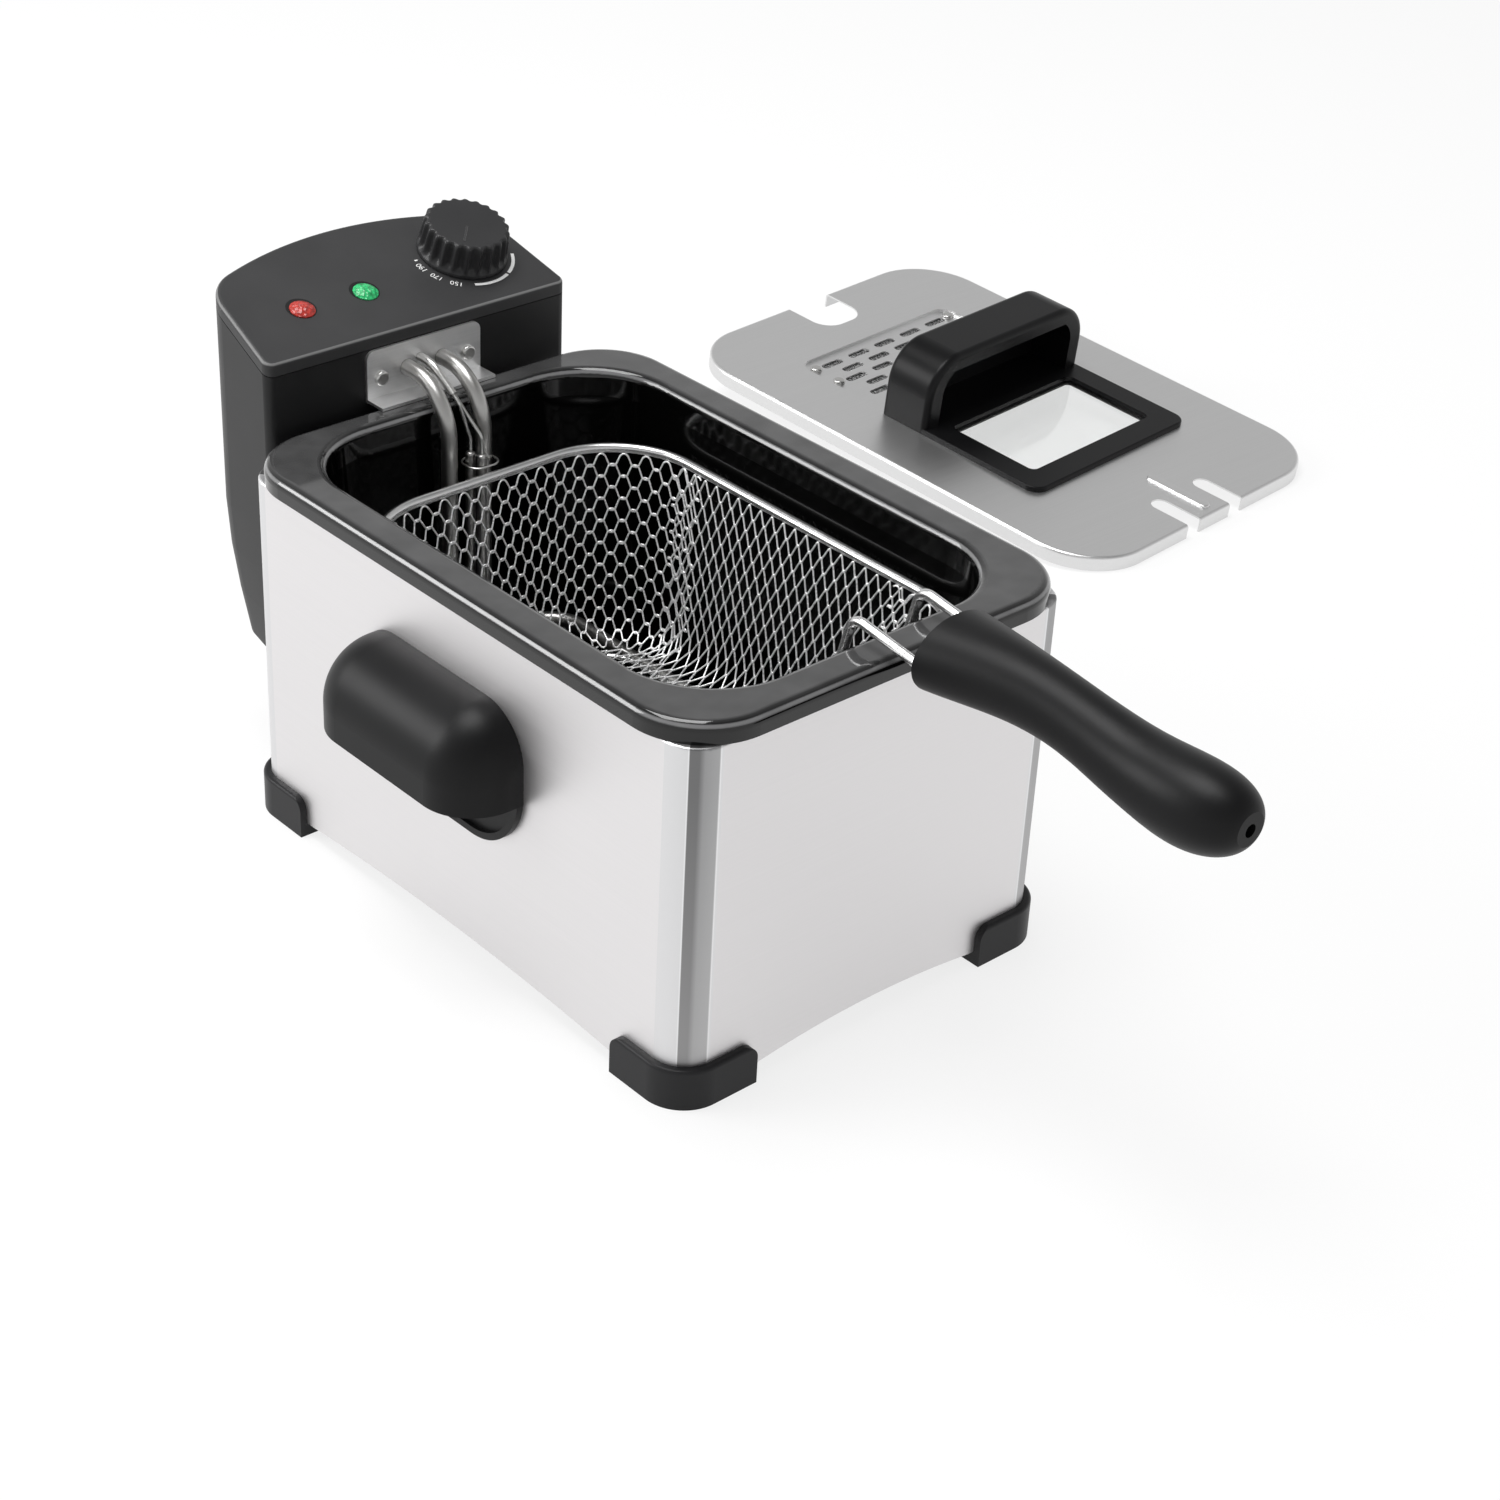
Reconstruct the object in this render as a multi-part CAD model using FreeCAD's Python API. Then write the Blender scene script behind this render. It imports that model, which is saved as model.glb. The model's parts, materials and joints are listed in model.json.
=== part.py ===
import FreeCAD, Part
import math
import os
from FreeCAD import Vector

# A household deep fryer on a table with its lid beside it, in millimetres, with +Z up.
# The basket handle points to -Y and the control head hangs at +Y. Every piece is
# drawn about the middle of the tank's rim, and then the whole set is moved so that
# the origin lies on the table under the middle of fryer and lid together.
SET_MIDDLE = (208.0, 32.0)

# Body of the fryer
RIM_HALF_X = 100.0
RIM_HALF_Y = 142.5
RIM_TOP = 166.0
RIM_SKIRT = 8.6
RIM_CORNER = 32.0
CASING_INSET = 3.0
CASING_CORNER = 15.0
CASING_SHEET = 0.8
CASING_BOTTOM = 6.0
CASING_ARCH = 4.0
BASE_PLATE_Z = 11.0
BASE_PLATE_SHEET = 1.2

# Feet and side handles
FOOT_HEIGHT = 18.0
FOOT_PROUD = 3.4
FOOT_LEG = 40.0
GRIP_MIDDLE_Y = 7.0
GRIP_HALF_LENGTH = 52.0
GRIP_TOP = 128.0
GRIP_LIP = 90.0
GRIP_FOOT = 64.0
GRIP_REACH = 30.0
GRIP_WALL = 3.0
GRIP_BACK = 1.0

# Oil tank, as half sizes at three heights
TANK_SHEET = 1.4
TANK_MIDDLE_Y = 2.0
TANK_MOUTH = (82.0, 126.5, 38.0)
TANK_WAIST = (80.6, 125.2, 37.0)
TANK_FLOOR = (75.0, 121.5, 34.0)
TANK_WAIST_Z = 136.0
TANK_FLOOR_Z = 22.0
TANK_FLOOR_FILLET = 13.0

# Control head
HEAD_HALF_X = 77.5
HEAD_FRONT = 149.0
HEAD_REAR = 215.5
HEAD_BOTTOM = 58.0
HEAD_WALL = 2.5
HEAD_TAPER_TOP = 115.0
PANEL_FRONT_Z = 195.0
PANEL_SLOPE = 17.0
PANEL_SKIRT = 5.5
PANEL_SEAM = 0.4
LAMP_X = (-43.0, -11.0)
LAMP_ALONG = 26.1
LAMP_RADIUS = 5.5
KNOB_X = 45.2
KNOB_ALONG = 34.0
KNOB_RADIUS = 20.0
KNOB_TOP_RADIUS = 18.2
KNOB_HEIGHT = 15.5
KNOB_FLUTES = 22
SPINDLE_RADIUS = 3.0
REAR_FITTING_Z = 128.0
GLAND_X = -40.0
GLAND_RADIUS = 6.0
RESET_X = 40.0
RESET_RADIUS = 4.0

# Heating element and its plate
TUBE_RADIUS = 3.5
TUBE_HALF_GAP = 9.0
TUBE_EXIT_Z = 177.5
TUBE_DROP_Y = 118.5
TUBE_FLOOR_Z = 53.0
PLATE_HALF_X = 29.5
PLATE_LOW = 166.2
PLATE_HIGH = 189.0
PLATE_SHEET = 1.4
PLATE_SCREW_X = 22.5
PLATE_SCREW_Z = 176.0

# Sensor tubes as (x, y, radius), and the capillaries that reach them
SENSOR_TOP_Z = 146.0
SENSOR_LOW_Z = 76.0
THERMOSTAT_BULB = (2.4, 119.0, 2.2)
LIMITER_BULB = (4.4, 113.7, 2.0)
SLEEVE_EXIT = (-2.4, 180.5, 1.8)
SLEEVE_END = (-1.2, 126.0, 170.5)
SLEEVE_TIP = (-0.9, 122.75, 168.0)
LIMITER_EXIT = (1.2, 174.0, 0.8)

# Basket
BASKET_X = -0.5
BASKET_Y = -8.0
BASKET_RIM_Z = 141.0
BASKET_RIM_HALF = (75.8, 110.0, 40.0)
BASKET_FOOT_HALF = (60.5, 93.0, 34.0)
BASKET_FLOOR_Z = 60.5
BASKET_WIRE = 2.25
BASKET_MESH = 1.6
BASKET_FILLET = 15.0

# Gaps of the basket's net: rows up the walls, counts along each side and over the floor
GAP_ROWS_Z = (85.0, 98.0, 111.0, 124.0)
GAP_SIZE = (7.2, 10.0)
LONG_GAPS = 12
SHORT_GAPS = 5
CORNER_GAPS = 4
FLOOR_GAPS = (8, 12)
FLOOR_GAP_PITCH = (11.2, 13.0)
FLOOR_GAP_SIZE = (8.4, 10.2)

# Handle of the basket
HANDLE_X = 13.0
HANDLE_HALF_GAP = 17.5
HANDLE_WIRE = 2.0
PIVOT_Y = -109.5
PIVOT_Z = 128.0
HOOK_Y = -121.8
HOOK_Z = 175.0
GRIP_MOUTH_Y = -156.5

# Handle grip stations from mouth to tip: place along Y, height of the middle,
# half width and half height
GRIP_STATIONS = (
    (-156.5, 170.4, 21.5, 15.4),
    (-168.0, 171.0, 19.4, 15.0),
    (-190.0, 172.0, 15.6, 13.8),
    (-214.0, 170.8, 13.6, 13.0),
    (-240.0, 166.6, 14.6, 14.2),
    (-262.0, 164.4, 16.6, 16.0),
    (-280.0, 164.4, 16.6, 16.0),
    (-291.5, 165.0, 13.0, 12.6),
    (-297.5, 165.4, 6.8, 6.6),
)

# Lid, lying on the table beside the fryer
LID_HALF_X = 103.0
LID_HALF_Y = 146.0
LID_CORNER = 38.0
LID_SKIRT = 8.0
LID_SHEET = 0.9
LID_X = 430.0
LID_Y = 205.0
LID_TURN = 5.0
VENT_MIDDLE_Y = 57.0
VENT_HALF = (62.0, 38.5)
VENT_DEPTH = 1.6
TRAY_HALF = (61.0, 34.0)
TRAY_FLOOR = -14.0
WINDOW_MIDDLE_Y = -34.5
FRAME_HALF = (66.0, 43.5)
PANE_HALF = (51.0, 28.5)
HANDLE_ARCH_TOP = 50.0
VENT_ROWS = 5
VENT_COLUMNS = 5

CASING_HALF_X = RIM_HALF_X - CASING_INSET
CASING_HALF_Y = RIM_HALF_Y - CASING_INSET
RIM_LOW = RIM_TOP - RIM_SKIRT
RUNNING_GAP = 0.06


def plan_wire(half_x, half_y, radius, z, middle=(0.0, 0.0)):
    """Rounded rectangle lying flat at height z."""
    cx, cy = middle
    turn = radius * (1 - math.sqrt(0.5))
    edges = []
    corners = ((1, 1), (-1, 1), (-1, -1), (1, -1))
    for index, (sx, sy) in enumerate(corners):
        tip = Vector(cx + sx * half_x, cy + sy * half_y, z)
        side_x = tip - Vector(0, sy * radius, 0)
        side_y = tip - Vector(sx * radius, 0, 0)
        middle_point = tip - Vector(sx * turn, sy * turn, 0)
        first, last = (side_x, side_y) if sx * sy > 0 else (side_y, side_x)
        if edges and (first - end).Length > 1e-6:
            edges.append(Part.LineSegment(end, first).toShape())
        if index == 0:
            start = first
        edges.append(Part.Arc(first, middle_point, last).toShape())
        end = last
    edges.append(Part.LineSegment(end, start).toShape())
    return Part.Wire(edges)


def slab(half_x, half_y, radius, low, high, middle=(0.0, 0.0)):
    """Upright block with rounded corners in plan."""
    face = Part.Face(plan_wire(half_x, half_y, radius, low, middle))
    return face.extrude(Vector(0, 0, high - low))


def tapered(sections, middle=(0.0, 0.0)):
    """Solid through rounded rectangles given as (half_x, half_y, radius, z)."""
    wires = [plan_wire(hx, hy, r, z, middle) for hx, hy, r, z in sections]
    return Part.makeLoft(wires, True, True)


def block(low, high):
    """Plain box between two corners."""
    size = Vector(*high) - Vector(*low)
    return Part.makeBox(size.x, size.y, size.z, Vector(*low))


def rod(start, end, radius):
    """Round bar between two points."""
    start = Vector(*start)
    along = Vector(*end) - start
    return Part.makeCylinder(radius, along.Length, start, along)


def bent_tube(route, radius):
    """Round bar along straight runs joined by arcs; route holds (point, bend radius)."""
    points = [Vector(*point) for point, bend in route]
    edges = []
    at = points[0]
    for index in range(1, len(points) - 1):
        here = points[index]
        into = (here - points[index - 1]).normalize()
        out = (points[index + 1] - here).normalize()
        turn = into.getAngle(out)
        reach = route[index][1] * math.tan(turn / 2)
        first = here - into * reach
        last = here + out * reach
        inward = (out - into).normalize()
        depth = route[index][1] * (1 / math.cos(turn / 2) - 1)
        if (first - at).Length > 1e-6:
            edges.append(Part.LineSegment(at, first).toShape())
        edges.append(Part.Arc(first, here + inward * depth, last).toShape())
        at = last
    edges.append(Part.LineSegment(at, points[-1]).toShape())
    path = Part.Wire(edges)
    profile = Part.Wire([Part.makeCircle(radius, points[0], points[1] - points[0])])
    return path.makePipeShell([profile], True, False)


def wire_loop(half_x, half_y, corner, z, radius, middle):
    """Closed round wire bent to a rounded rectangle."""
    cx, cy = middle
    run_x = half_x - corner
    run_y = half_y - corner
    pieces = []
    for side in (1, -1):
        pieces.append(rod((cx - run_x, cy + side * half_y, z), (cx + run_x, cy + side * half_y, z), radius))
        pieces.append(rod((cx + side * half_x, cy - run_y, z), (cx + side * half_x, cy + run_y, z), radius))
    for quarter, (sx, sy) in enumerate(((1, 1), (-1, 1), (-1, -1), (1, -1))):
        bend = Part.makeTorus(corner, radius, Vector(), Vector(0, 0, 1), 0, 360, 90)
        bend.rotate(Vector(), Vector(0, 0, 1), 90 * quarter)
        bend.translate(Vector(cx + sx * run_x, cy + sy * run_y, z))
        pieces.append(bend)
    return pieces[0].multiFuse(pieces[1:]).removeSplitter()


def pan_head_screw(seat, outward, radius, length):
    """Screw whose domed head stands on seat and points outward."""
    seat = Vector(*seat)
    outward = Vector(*outward)
    shank = Part.makeCylinder(radius, length, seat, outward * -1)
    head_radius = 2.0 * radius
    head = Part.makeCylinder(head_radius, 1.2 * radius, seat, outward)
    crown = [edge for edge in head.Edges if (edge.BoundBox.Center - seat).dot(outward) > radius]
    head = head.makeFillet(0.6 * radius, [edge for edge in crown if edge.Closed])
    return shank.fuse(head).removeSplitter()


def edges_at(shape, z, tolerance=0.01):
    """Edges of a shape that lie flat at height z."""
    found = []
    for edge in shape.Edges:
        box = edge.BoundBox
        if abs(box.ZMin - z) < tolerance and abs(box.ZMax - z) < tolerance:
            found.append(edge)
    return found


def outer_casing():
    """Wrapped steel sheet with a turned-in top flange, arched between the feet."""
    sheet = CASING_SHEET
    body = slab(CASING_HALF_X, CASING_HALF_Y, CASING_CORNER, CASING_BOTTOM, RIM_LOW)
    body = body.makeFillet(1.0, edges_at(body, RIM_LOW))
    body = body.cut(slab(CASING_HALF_X - sheet, CASING_HALF_Y - sheet, CASING_CORNER - sheet,
                         0, RIM_LOW - sheet))
    body = body.cut(slab(88.0, 131.0, 40.0, 100, 200, (0, TANK_MIDDLE_Y)))
    body = body.cut(arch_cutter(CASING_HALF_Y - FOOT_LEG, Vector(0, 1, 0)))
    body = body.cut(arch_cutter(CASING_HALF_X - FOOT_LEG, Vector(1, 0, 0)))
    for side in (1, -1):
        for y, z in side_handle_screw_places():
            body = body.cut(rod((side * 90, y, z), (side * 105, y, z), 2.2))
    for x, z in rail_screw_places():
        body = body.cut(rod((x, 130, z), (x, 145, z), 1.7))
    return body


def arch_cutter(half_span, along):
    """Shallow arch below the casing's lower edge, right through the body."""
    low = CASING_BOTTOM
    start = along * -half_span + Vector(0, 0, low)
    end = along * half_span + Vector(0, 0, low)
    edges = [Part.Arc(start, Vector(0, 0, low + CASING_ARCH), end).toShape(), Part.makeLine(end, start)]
    across = Vector(along.y, along.x, 0)
    face = Part.Face(Part.Wire(edges))
    face.translate(across * -200)
    return face.extrude(across * 400)


def base_plate():
    """Sheet that closes the casing from below, with a hole over each foot."""
    gap = CASING_SHEET + 0.3
    plate = slab(CASING_HALF_X - gap, CASING_HALF_Y - gap, CASING_CORNER - gap,
                 BASE_PLATE_Z, BASE_PLATE_Z + BASE_PLATE_SHEET)
    for x, y in foot_screw_places():
        plate = plate.cut(rod((x, y, 0), (x, y, 30), 2.05))
    return plate


def foot_screw_places():
    """Plan position of the screw in each foot."""
    return [(sx * (CASING_HALF_X - 16), sy * (CASING_HALF_Y - 16)) for sx in (1, -1) for sy in (1, -1)]


def foot(side_x, side_y):
    """Moulded corner wrap with a sole under the casing's edge."""
    outer = FOOT_PROUD
    wrap = slab(CASING_HALF_X + outer, CASING_HALF_Y + outer, CASING_CORNER + outer, 0, FOOT_HEIGHT)
    wrap = wrap.makeFillet(1.6, edges_at(wrap, FOOT_HEIGHT))
    gap = 0.05
    wrap = wrap.cut(slab(CASING_HALF_X + gap, CASING_HALF_Y + gap, CASING_CORNER + gap,
                         CASING_BOTTOM - 0.2, FOOT_HEIGHT + 1))
    x_end = CASING_HALF_X + outer - FOOT_LEG
    y_end = CASING_HALF_Y + outer - FOOT_LEG
    corner = foot_window(x_end, y_end)
    wrap = wrap.common(corner)
    sx, sy = CASING_HALF_X - 16, CASING_HALF_Y - 16
    wrap = wrap.fuse(rod((sx, sy, 0), (sx, sy, BASE_PLATE_Z), 5))
    wrap = wrap.cut(rod((sx, sy, -1), (sx, sy, 3), 4.3))
    wrap = wrap.cut(rod((sx, sy, 0), (sx, sy, 20), 2.05))
    if side_x < 0:
        wrap = wrap.mirror(Vector(), Vector(1, 0, 0))
    if side_y < 0:
        wrap = wrap.mirror(Vector(), Vector(0, 1, 0))
    return wrap


def foot_window(x_end, y_end):
    """Corner of the plan that one foot fills, its two free ends rounded at the top."""
    far = 250
    arm_x = block((x_end, -far, -10), (far, far, FOOT_HEIGHT))
    arm_y = block((-far, y_end, -10), (far, far, FOOT_HEIGHT))
    end_x = [edge for edge in edges_at(arm_x, FOOT_HEIGHT) if edge.BoundBox.XMax < x_end + 1]
    end_y = [edge for edge in edges_at(arm_y, FOOT_HEIGHT) if edge.BoundBox.YMax < y_end + 1]
    return arm_x.makeFillet(6.0, end_x).common(arm_y.makeFillet(6.0, end_y))


def foot_screws():
    """Four screws that hold the feet to the base plate."""
    return Part.makeCompound([pan_head_screw((x, y, 3), (0, 0, -1), 2.0, 12) for x, y in foot_screw_places()])


def side_handle_screw_places():
    """Height and place along Y of the screws behind each side handle."""
    return [(GRIP_MIDDLE_Y + y, 112.0) for y in (-30.0, 30.0)]


def hood(half_length, reach, top, lip, end_radius):
    """Quarter-round hood along Y that leans on a wall at x = 0 and reaches to +X."""
    land = GRIP_WALL
    radius = reach - land
    bend = radius * math.sqrt(0.5)
    crown = Vector(land, 0, top)
    brow = Vector(reach, 0, top - radius)
    bulge = Vector(land + bend, 0, top - radius + bend)
    chin = Vector(reach, 0, lip)
    edges = [
        Part.makeLine(Vector(0, 0, top), crown),
        Part.Arc(crown, bulge, brow).toShape(),
        Part.makeLine(brow, chin),
        Part.makeLine(chin, Vector(0, 0, lip)),
        Part.makeLine(Vector(0, 0, lip), Vector(0, 0, top)),
    ]
    face = Part.Face(Part.Wire(edges))
    face.translate(Vector(0, -half_length, 0))
    body = face.extrude(Vector(0, 2 * half_length, 0))
    rounded = []
    for edge in body.Edges:
        box = edge.BoundBox
        on_wall = box.XMax < 0.01
        on_lip = box.ZMax < lip + 0.01
        if box.YLength < 0.01 and not on_wall and not on_lip:
            rounded.append(edge)
    return body.makeFillet(end_radius, rounded)


def side_handle(side):
    """Hooded grip, hollow and open below, on a thin backplate with a raised rim."""
    wall = GRIP_WALL
    shell = hood(GRIP_HALF_LENGTH, GRIP_REACH, GRIP_TOP, GRIP_LIP, 23.0)
    hollow = hood(GRIP_HALF_LENGTH - wall, GRIP_REACH - wall, GRIP_TOP - wall, GRIP_LIP - 10, 20.0)
    rim = wall_plate(GRIP_FOOT, GRIP_TOP, GRIP_HALF_LENGTH, 29.0)
    finger_window = wall_plate(GRIP_FOOT + wall, GRIP_TOP - wall, GRIP_HALF_LENGTH - wall, 26.0)
    finger_window = finger_window.common(block((GRIP_BACK, -80, 0), (20, 80, GRIP_LIP + 10)))
    handle = shell.cut(hollow).fuse(rim).cut(finger_window)
    handle.translate(Vector(0, GRIP_MIDDLE_Y, 0))
    for y, z in side_handle_screw_places():
        handle = handle.cut(rod((-1, y, z), (2.2, y, z), 1.9))
    handle = handle.removeSplitter()
    handle.translate(Vector(CASING_HALF_X, 0, 0))
    if side < 0:
        handle = handle.mirror(Vector(), Vector(1, 0, 0))
    return handle


def wall_plate(low, high, half_length, radius):
    """Plate against a wall at x = 0, rounded at its four corners."""
    middle_z = (low + high) / 2
    plate = slab(middle_z - low, half_length, radius, 0, GRIP_WALL)
    plate.rotate(Vector(), Vector(0, 1, 0), 90)
    plate.translate(Vector(0, 0, middle_z))
    return plate


def side_handle_screws():
    """Screws driven from inside the casing into the side handles."""
    screws = []
    for side in (1, -1):
        seat_x = side * (CASING_HALF_X - CASING_SHEET)
        for y, z in side_handle_screw_places():
            screws.append(pan_head_screw((seat_x, y, z), (-side, 0, 0), 1.85, 2.8))
    return Part.makeCompound(screws)


def rail_screw_places():
    """Places across X and Z of the screws that hold the head's rail."""
    return [(x, z) for x in (-30.0, 30.0) for z in (72.0, 110.0)]


def head_rail():
    """Steel T-rail on the casing's back that the control head slides down on."""
    back = CASING_HALF_Y
    plate = block((-38, back, 64), (38, back + 2, 118))
    web = block((-8, back + 2, 64), (8, HEAD_FRONT + 3.2, 118))
    flange = block((-15, HEAD_FRONT + 3.2, 64), (15, HEAD_FRONT + 5.4, 118))
    rail = plate.multiFuse([web, flange]).removeSplitter()
    for x, z in rail_screw_places():
        rail = rail.cut(rod((x, back - 1, z), (x, back + 5, z), 1.7))
    return rail


def rail_screws():
    """Four screws through the rail's plate."""
    seat = CASING_HALF_Y + 2
    return Part.makeCompound([pan_head_screw((x, seat, z), (0, 1, 0), 1.65, 6) for x, z in rail_screw_places()])


def pan(grow):
    """Tapered body of the tank, swollen by grow."""
    sections = []
    heights = (TANK_FLOOR_Z - grow, TANK_WAIST_Z, RIM_TOP)
    for (half_x, half_y, radius), z in zip((TANK_FLOOR, TANK_WAIST, TANK_MOUTH), heights):
        sections.append((half_x + grow, half_y + grow, radius + grow, z))
    body = tapered(sections, (0, TANK_MIDDLE_Y))
    return body.makeFillet(TANK_FLOOR_FILLET + grow, edges_at(body, TANK_FLOOR_Z - grow))


def oil_tank():
    """Enamelled pan with a wide land and a turned-down skirt that sits on the casing."""
    sheet = TANK_SHEET
    rim = slab(RIM_HALF_X, RIM_HALF_Y, RIM_CORNER, RIM_LOW, RIM_TOP)
    rim = rim.makeFillet(4.0, edges_at(rim, RIM_TOP))
    groove = slab(RIM_HALF_X - sheet, RIM_HALF_Y - sheet, RIM_CORNER - sheet, RIM_LOW - 1, RIM_TOP - sheet)
    groove = groove.makeFillet(2.6, edges_at(groove, RIM_TOP - sheet))
    half_x, half_y, corner = TANK_MOUTH
    shoulder = slab(half_x + 5, half_y + 5, corner + 5, RIM_TOP - 6, RIM_TOP - 0.5, (0, TANK_MIDDLE_Y))
    tank = rim.cut(groove).multiFuse([shoulder, pan(sheet)]).cut(pan(0.0)).removeSplitter()
    mouth = [edge for edge in edges_at(tank, RIM_TOP) if edge.BoundBox.XMax < half_x + 0.1
             and edge.BoundBox.YMax < TANK_MIDDLE_Y + half_y + 0.1]
    return tank.makeFillet(4.0, mouth)


def panel_height(y, drop=0.0):
    """Height of the head's sloping top at a place along Y."""
    return PANEL_FRONT_Z - drop + math.tan(math.radians(PANEL_SLOPE)) * (y - HEAD_FRONT)


def head_outline(z, inset, forward):
    """Plan of the head at height z: flat front, slightly closing sides, bowed rear."""
    nose = 4.0 - inset if inset < 3.0 else 1.0
    cut = nose * (1 - math.sqrt(0.5))
    half = HEAD_HALF_X - inset
    front = HEAD_FRONT + inset
    rear = HEAD_REAR - inset - forward
    right = [
        (half - nose, front),
        (half - cut, front + cut),
        (half, front + nose),
        (half - 4.0, rear - 27.5 + inset),
        (half - 9.1 + 0.25 * inset, rear - 16.2 + 0.34 * inset),
        (half - 19.5 + 0.68 * inset, rear - 9.5 + 0.05 * inset),
    ]
    right = [Vector(x, y, z) for x, y in right]
    left = [Vector(-p.x, p.y, z) for p in right]
    edges = [
        Part.makeLine(left[0], right[0]),
        Part.Arc(right[0], right[1], right[2]).toShape(),
        Part.makeLine(right[2], right[3]),
        Part.Arc(right[3], right[4], right[5]).toShape(),
        Part.Arc(right[5], Vector(0, rear, z), left[5]).toShape(),
        Part.Arc(left[5], left[4], left[3]).toShape(),
        Part.makeLine(left[3], left[2]),
        Part.Arc(left[2], left[1], left[0]).toShape(),
    ]
    return Part.Wire(edges)


def head_solid(inset, drop):
    """Head filled solid, set in by inset all round and cut off below the sloping top."""
    low = HEAD_BOTTOM + inset
    forward_at = ((low, 15.0), (76.0, 8.0), (95.0, 2.6), (HEAD_TAPER_TOP, 0.0))
    foot_part = Part.makeLoft([head_outline(z, inset, f) for z, f in forward_at], True, True)
    upper = Part.Face(head_outline(HEAD_TAPER_TOP, inset, 0.0)).extrude(Vector(0, 0, 130))
    body = foot_part.fuse(upper).removeSplitter()
    return body.cut(above_panel(drop))


def above_panel(drop):
    """Everything above a plane that lies drop below the sloping top."""
    near, far = HEAD_FRONT - 60, HEAD_REAR + 60
    points = [Vector(-150, near, panel_height(near, drop)), Vector(-150, far, panel_height(far, drop)),
              Vector(-150, far, 400), Vector(-150, near, 400)]
    face = Part.Face(Part.makePolygon(points + points[:1]))
    return face.extrude(Vector(300, 0, 0))


def on_panel(shape, x, along):
    """Stand a shape built upright at the origin on the sloping top."""
    slope = math.radians(PANEL_SLOPE)
    shape = shape.copy()
    shape.rotate(Vector(), Vector(1, 0, 0), PANEL_SLOPE)
    shape.translate(Vector(x, HEAD_FRONT + along * math.cos(slope), PANEL_FRONT_Z + along * math.sin(slope)))
    return shape


def upright(radius, low, high):
    """Cylinder about the Z axis."""
    return Part.makeCylinder(radius, high - low, Vector(0, 0, low))


def head_body():
    """Housing of the control head: front, sides, rear and floor in one moulding."""
    shell = head_solid(0.0, PANEL_SKIRT + PANEL_SEAM)
    shell = shell.cut(head_solid(HEAD_WALL, -20.0))
    slot = block((-8.8, HEAD_FRONT - 5, HEAD_BOTTOM - 5), (8.8, HEAD_FRONT + HEAD_WALL + 1, 121))
    under = block((-16, HEAD_FRONT + HEAD_WALL - 0.1, HEAD_BOTTOM - 5), (16, HEAD_FRONT + 7, HEAD_BOTTOM + 5))
    tube_window = block((-17, HEAD_FRONT - 5, 170), (17, HEAD_FRONT + 5, 184.5))
    for opening in (slot, under, tube_window):
        shell = shell.cut(opening)
    for x in (-PLATE_SCREW_X, PLATE_SCREW_X):
        shell = shell.cut(rod((x, 140, PLATE_SCREW_Z), (x, 160, PLATE_SCREW_Z), 1.7))
    for x, radius in ((GLAND_X, GLAND_RADIUS), (RESET_X, RESET_RADIUS + RUNNING_GAP)):
        shell = shell.cut(rod((x, 200, REAR_FITTING_Z), (x, 230, REAR_FITTING_Z), radius))
    return shell


def head_top_panel():
    """Cap with a short skirt and a locating lip inside the housing."""
    cap = head_solid(0.0, 0.0)
    rim = [edge for edge in cap.Edges
           if all(abs(v.Point.z - panel_height(v.Point.y)) < 0.01 for v in edge.Vertexes)]
    cap = cap.makeFillet(1.8, rim)
    cap = cap.common(above_panel(PANEL_SKIRT))
    lip = head_solid(HEAD_WALL + 0.1, 2.4).common(above_panel(PANEL_SKIRT + 4.0))
    cap = cap.cut(head_solid(HEAD_WALL, 2.5))
    lip = lip.cut(head_solid(HEAD_WALL + 1.3, -20.0))
    cap = cap.fuse(lip).removeSplitter()
    for x in LAMP_X:
        cap = cap.cut(on_panel(upright(LAMP_RADIUS + 0.1, -12, 5), x, LAMP_ALONG))
    return cap.cut(on_panel(upright(SPINDLE_RADIUS + 1.0, -12, 5), KNOB_X, KNOB_ALONG))


def lamp_lens(x):
    """Clear coloured lens with a low dome and a collar below the panel."""
    stem = upright(LAMP_RADIUS, -4.0, 0.4)
    dome = Part.makeSphere(LAMP_RADIUS * 1.6, Vector(0, 0, 0.4 - LAMP_RADIUS * 1.249))
    dome = dome.common(upright(LAMP_RADIUS, 0.4, 10))
    return on_panel(stem.fuse(dome).removeSplitter(), x, LAMP_ALONG)


def lamp_holders():
    """Neon lamp bodies clipped below the two lenses."""
    return Part.makeCompound([on_panel(upright(4.4, -20.0, -4.0), x, LAMP_ALONG) for x in LAMP_X])


def thermostat():
    """Thermostat switch under the panel, with a bore for the dial's spindle."""
    body = block((-15, -12, -26), (15, 12, -2.6))
    body = body.cut(upright(SPINDLE_RADIUS + RUNNING_GAP, -16.0, 0))
    return on_panel(body, KNOB_X, KNOB_ALONG)


def knob_spindle():
    """Spindle that the dial knob is pressed on."""
    return on_panel(upright(SPINDLE_RADIUS, -15.5, 10.0), KNOB_X, KNOB_ALONG)


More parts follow.
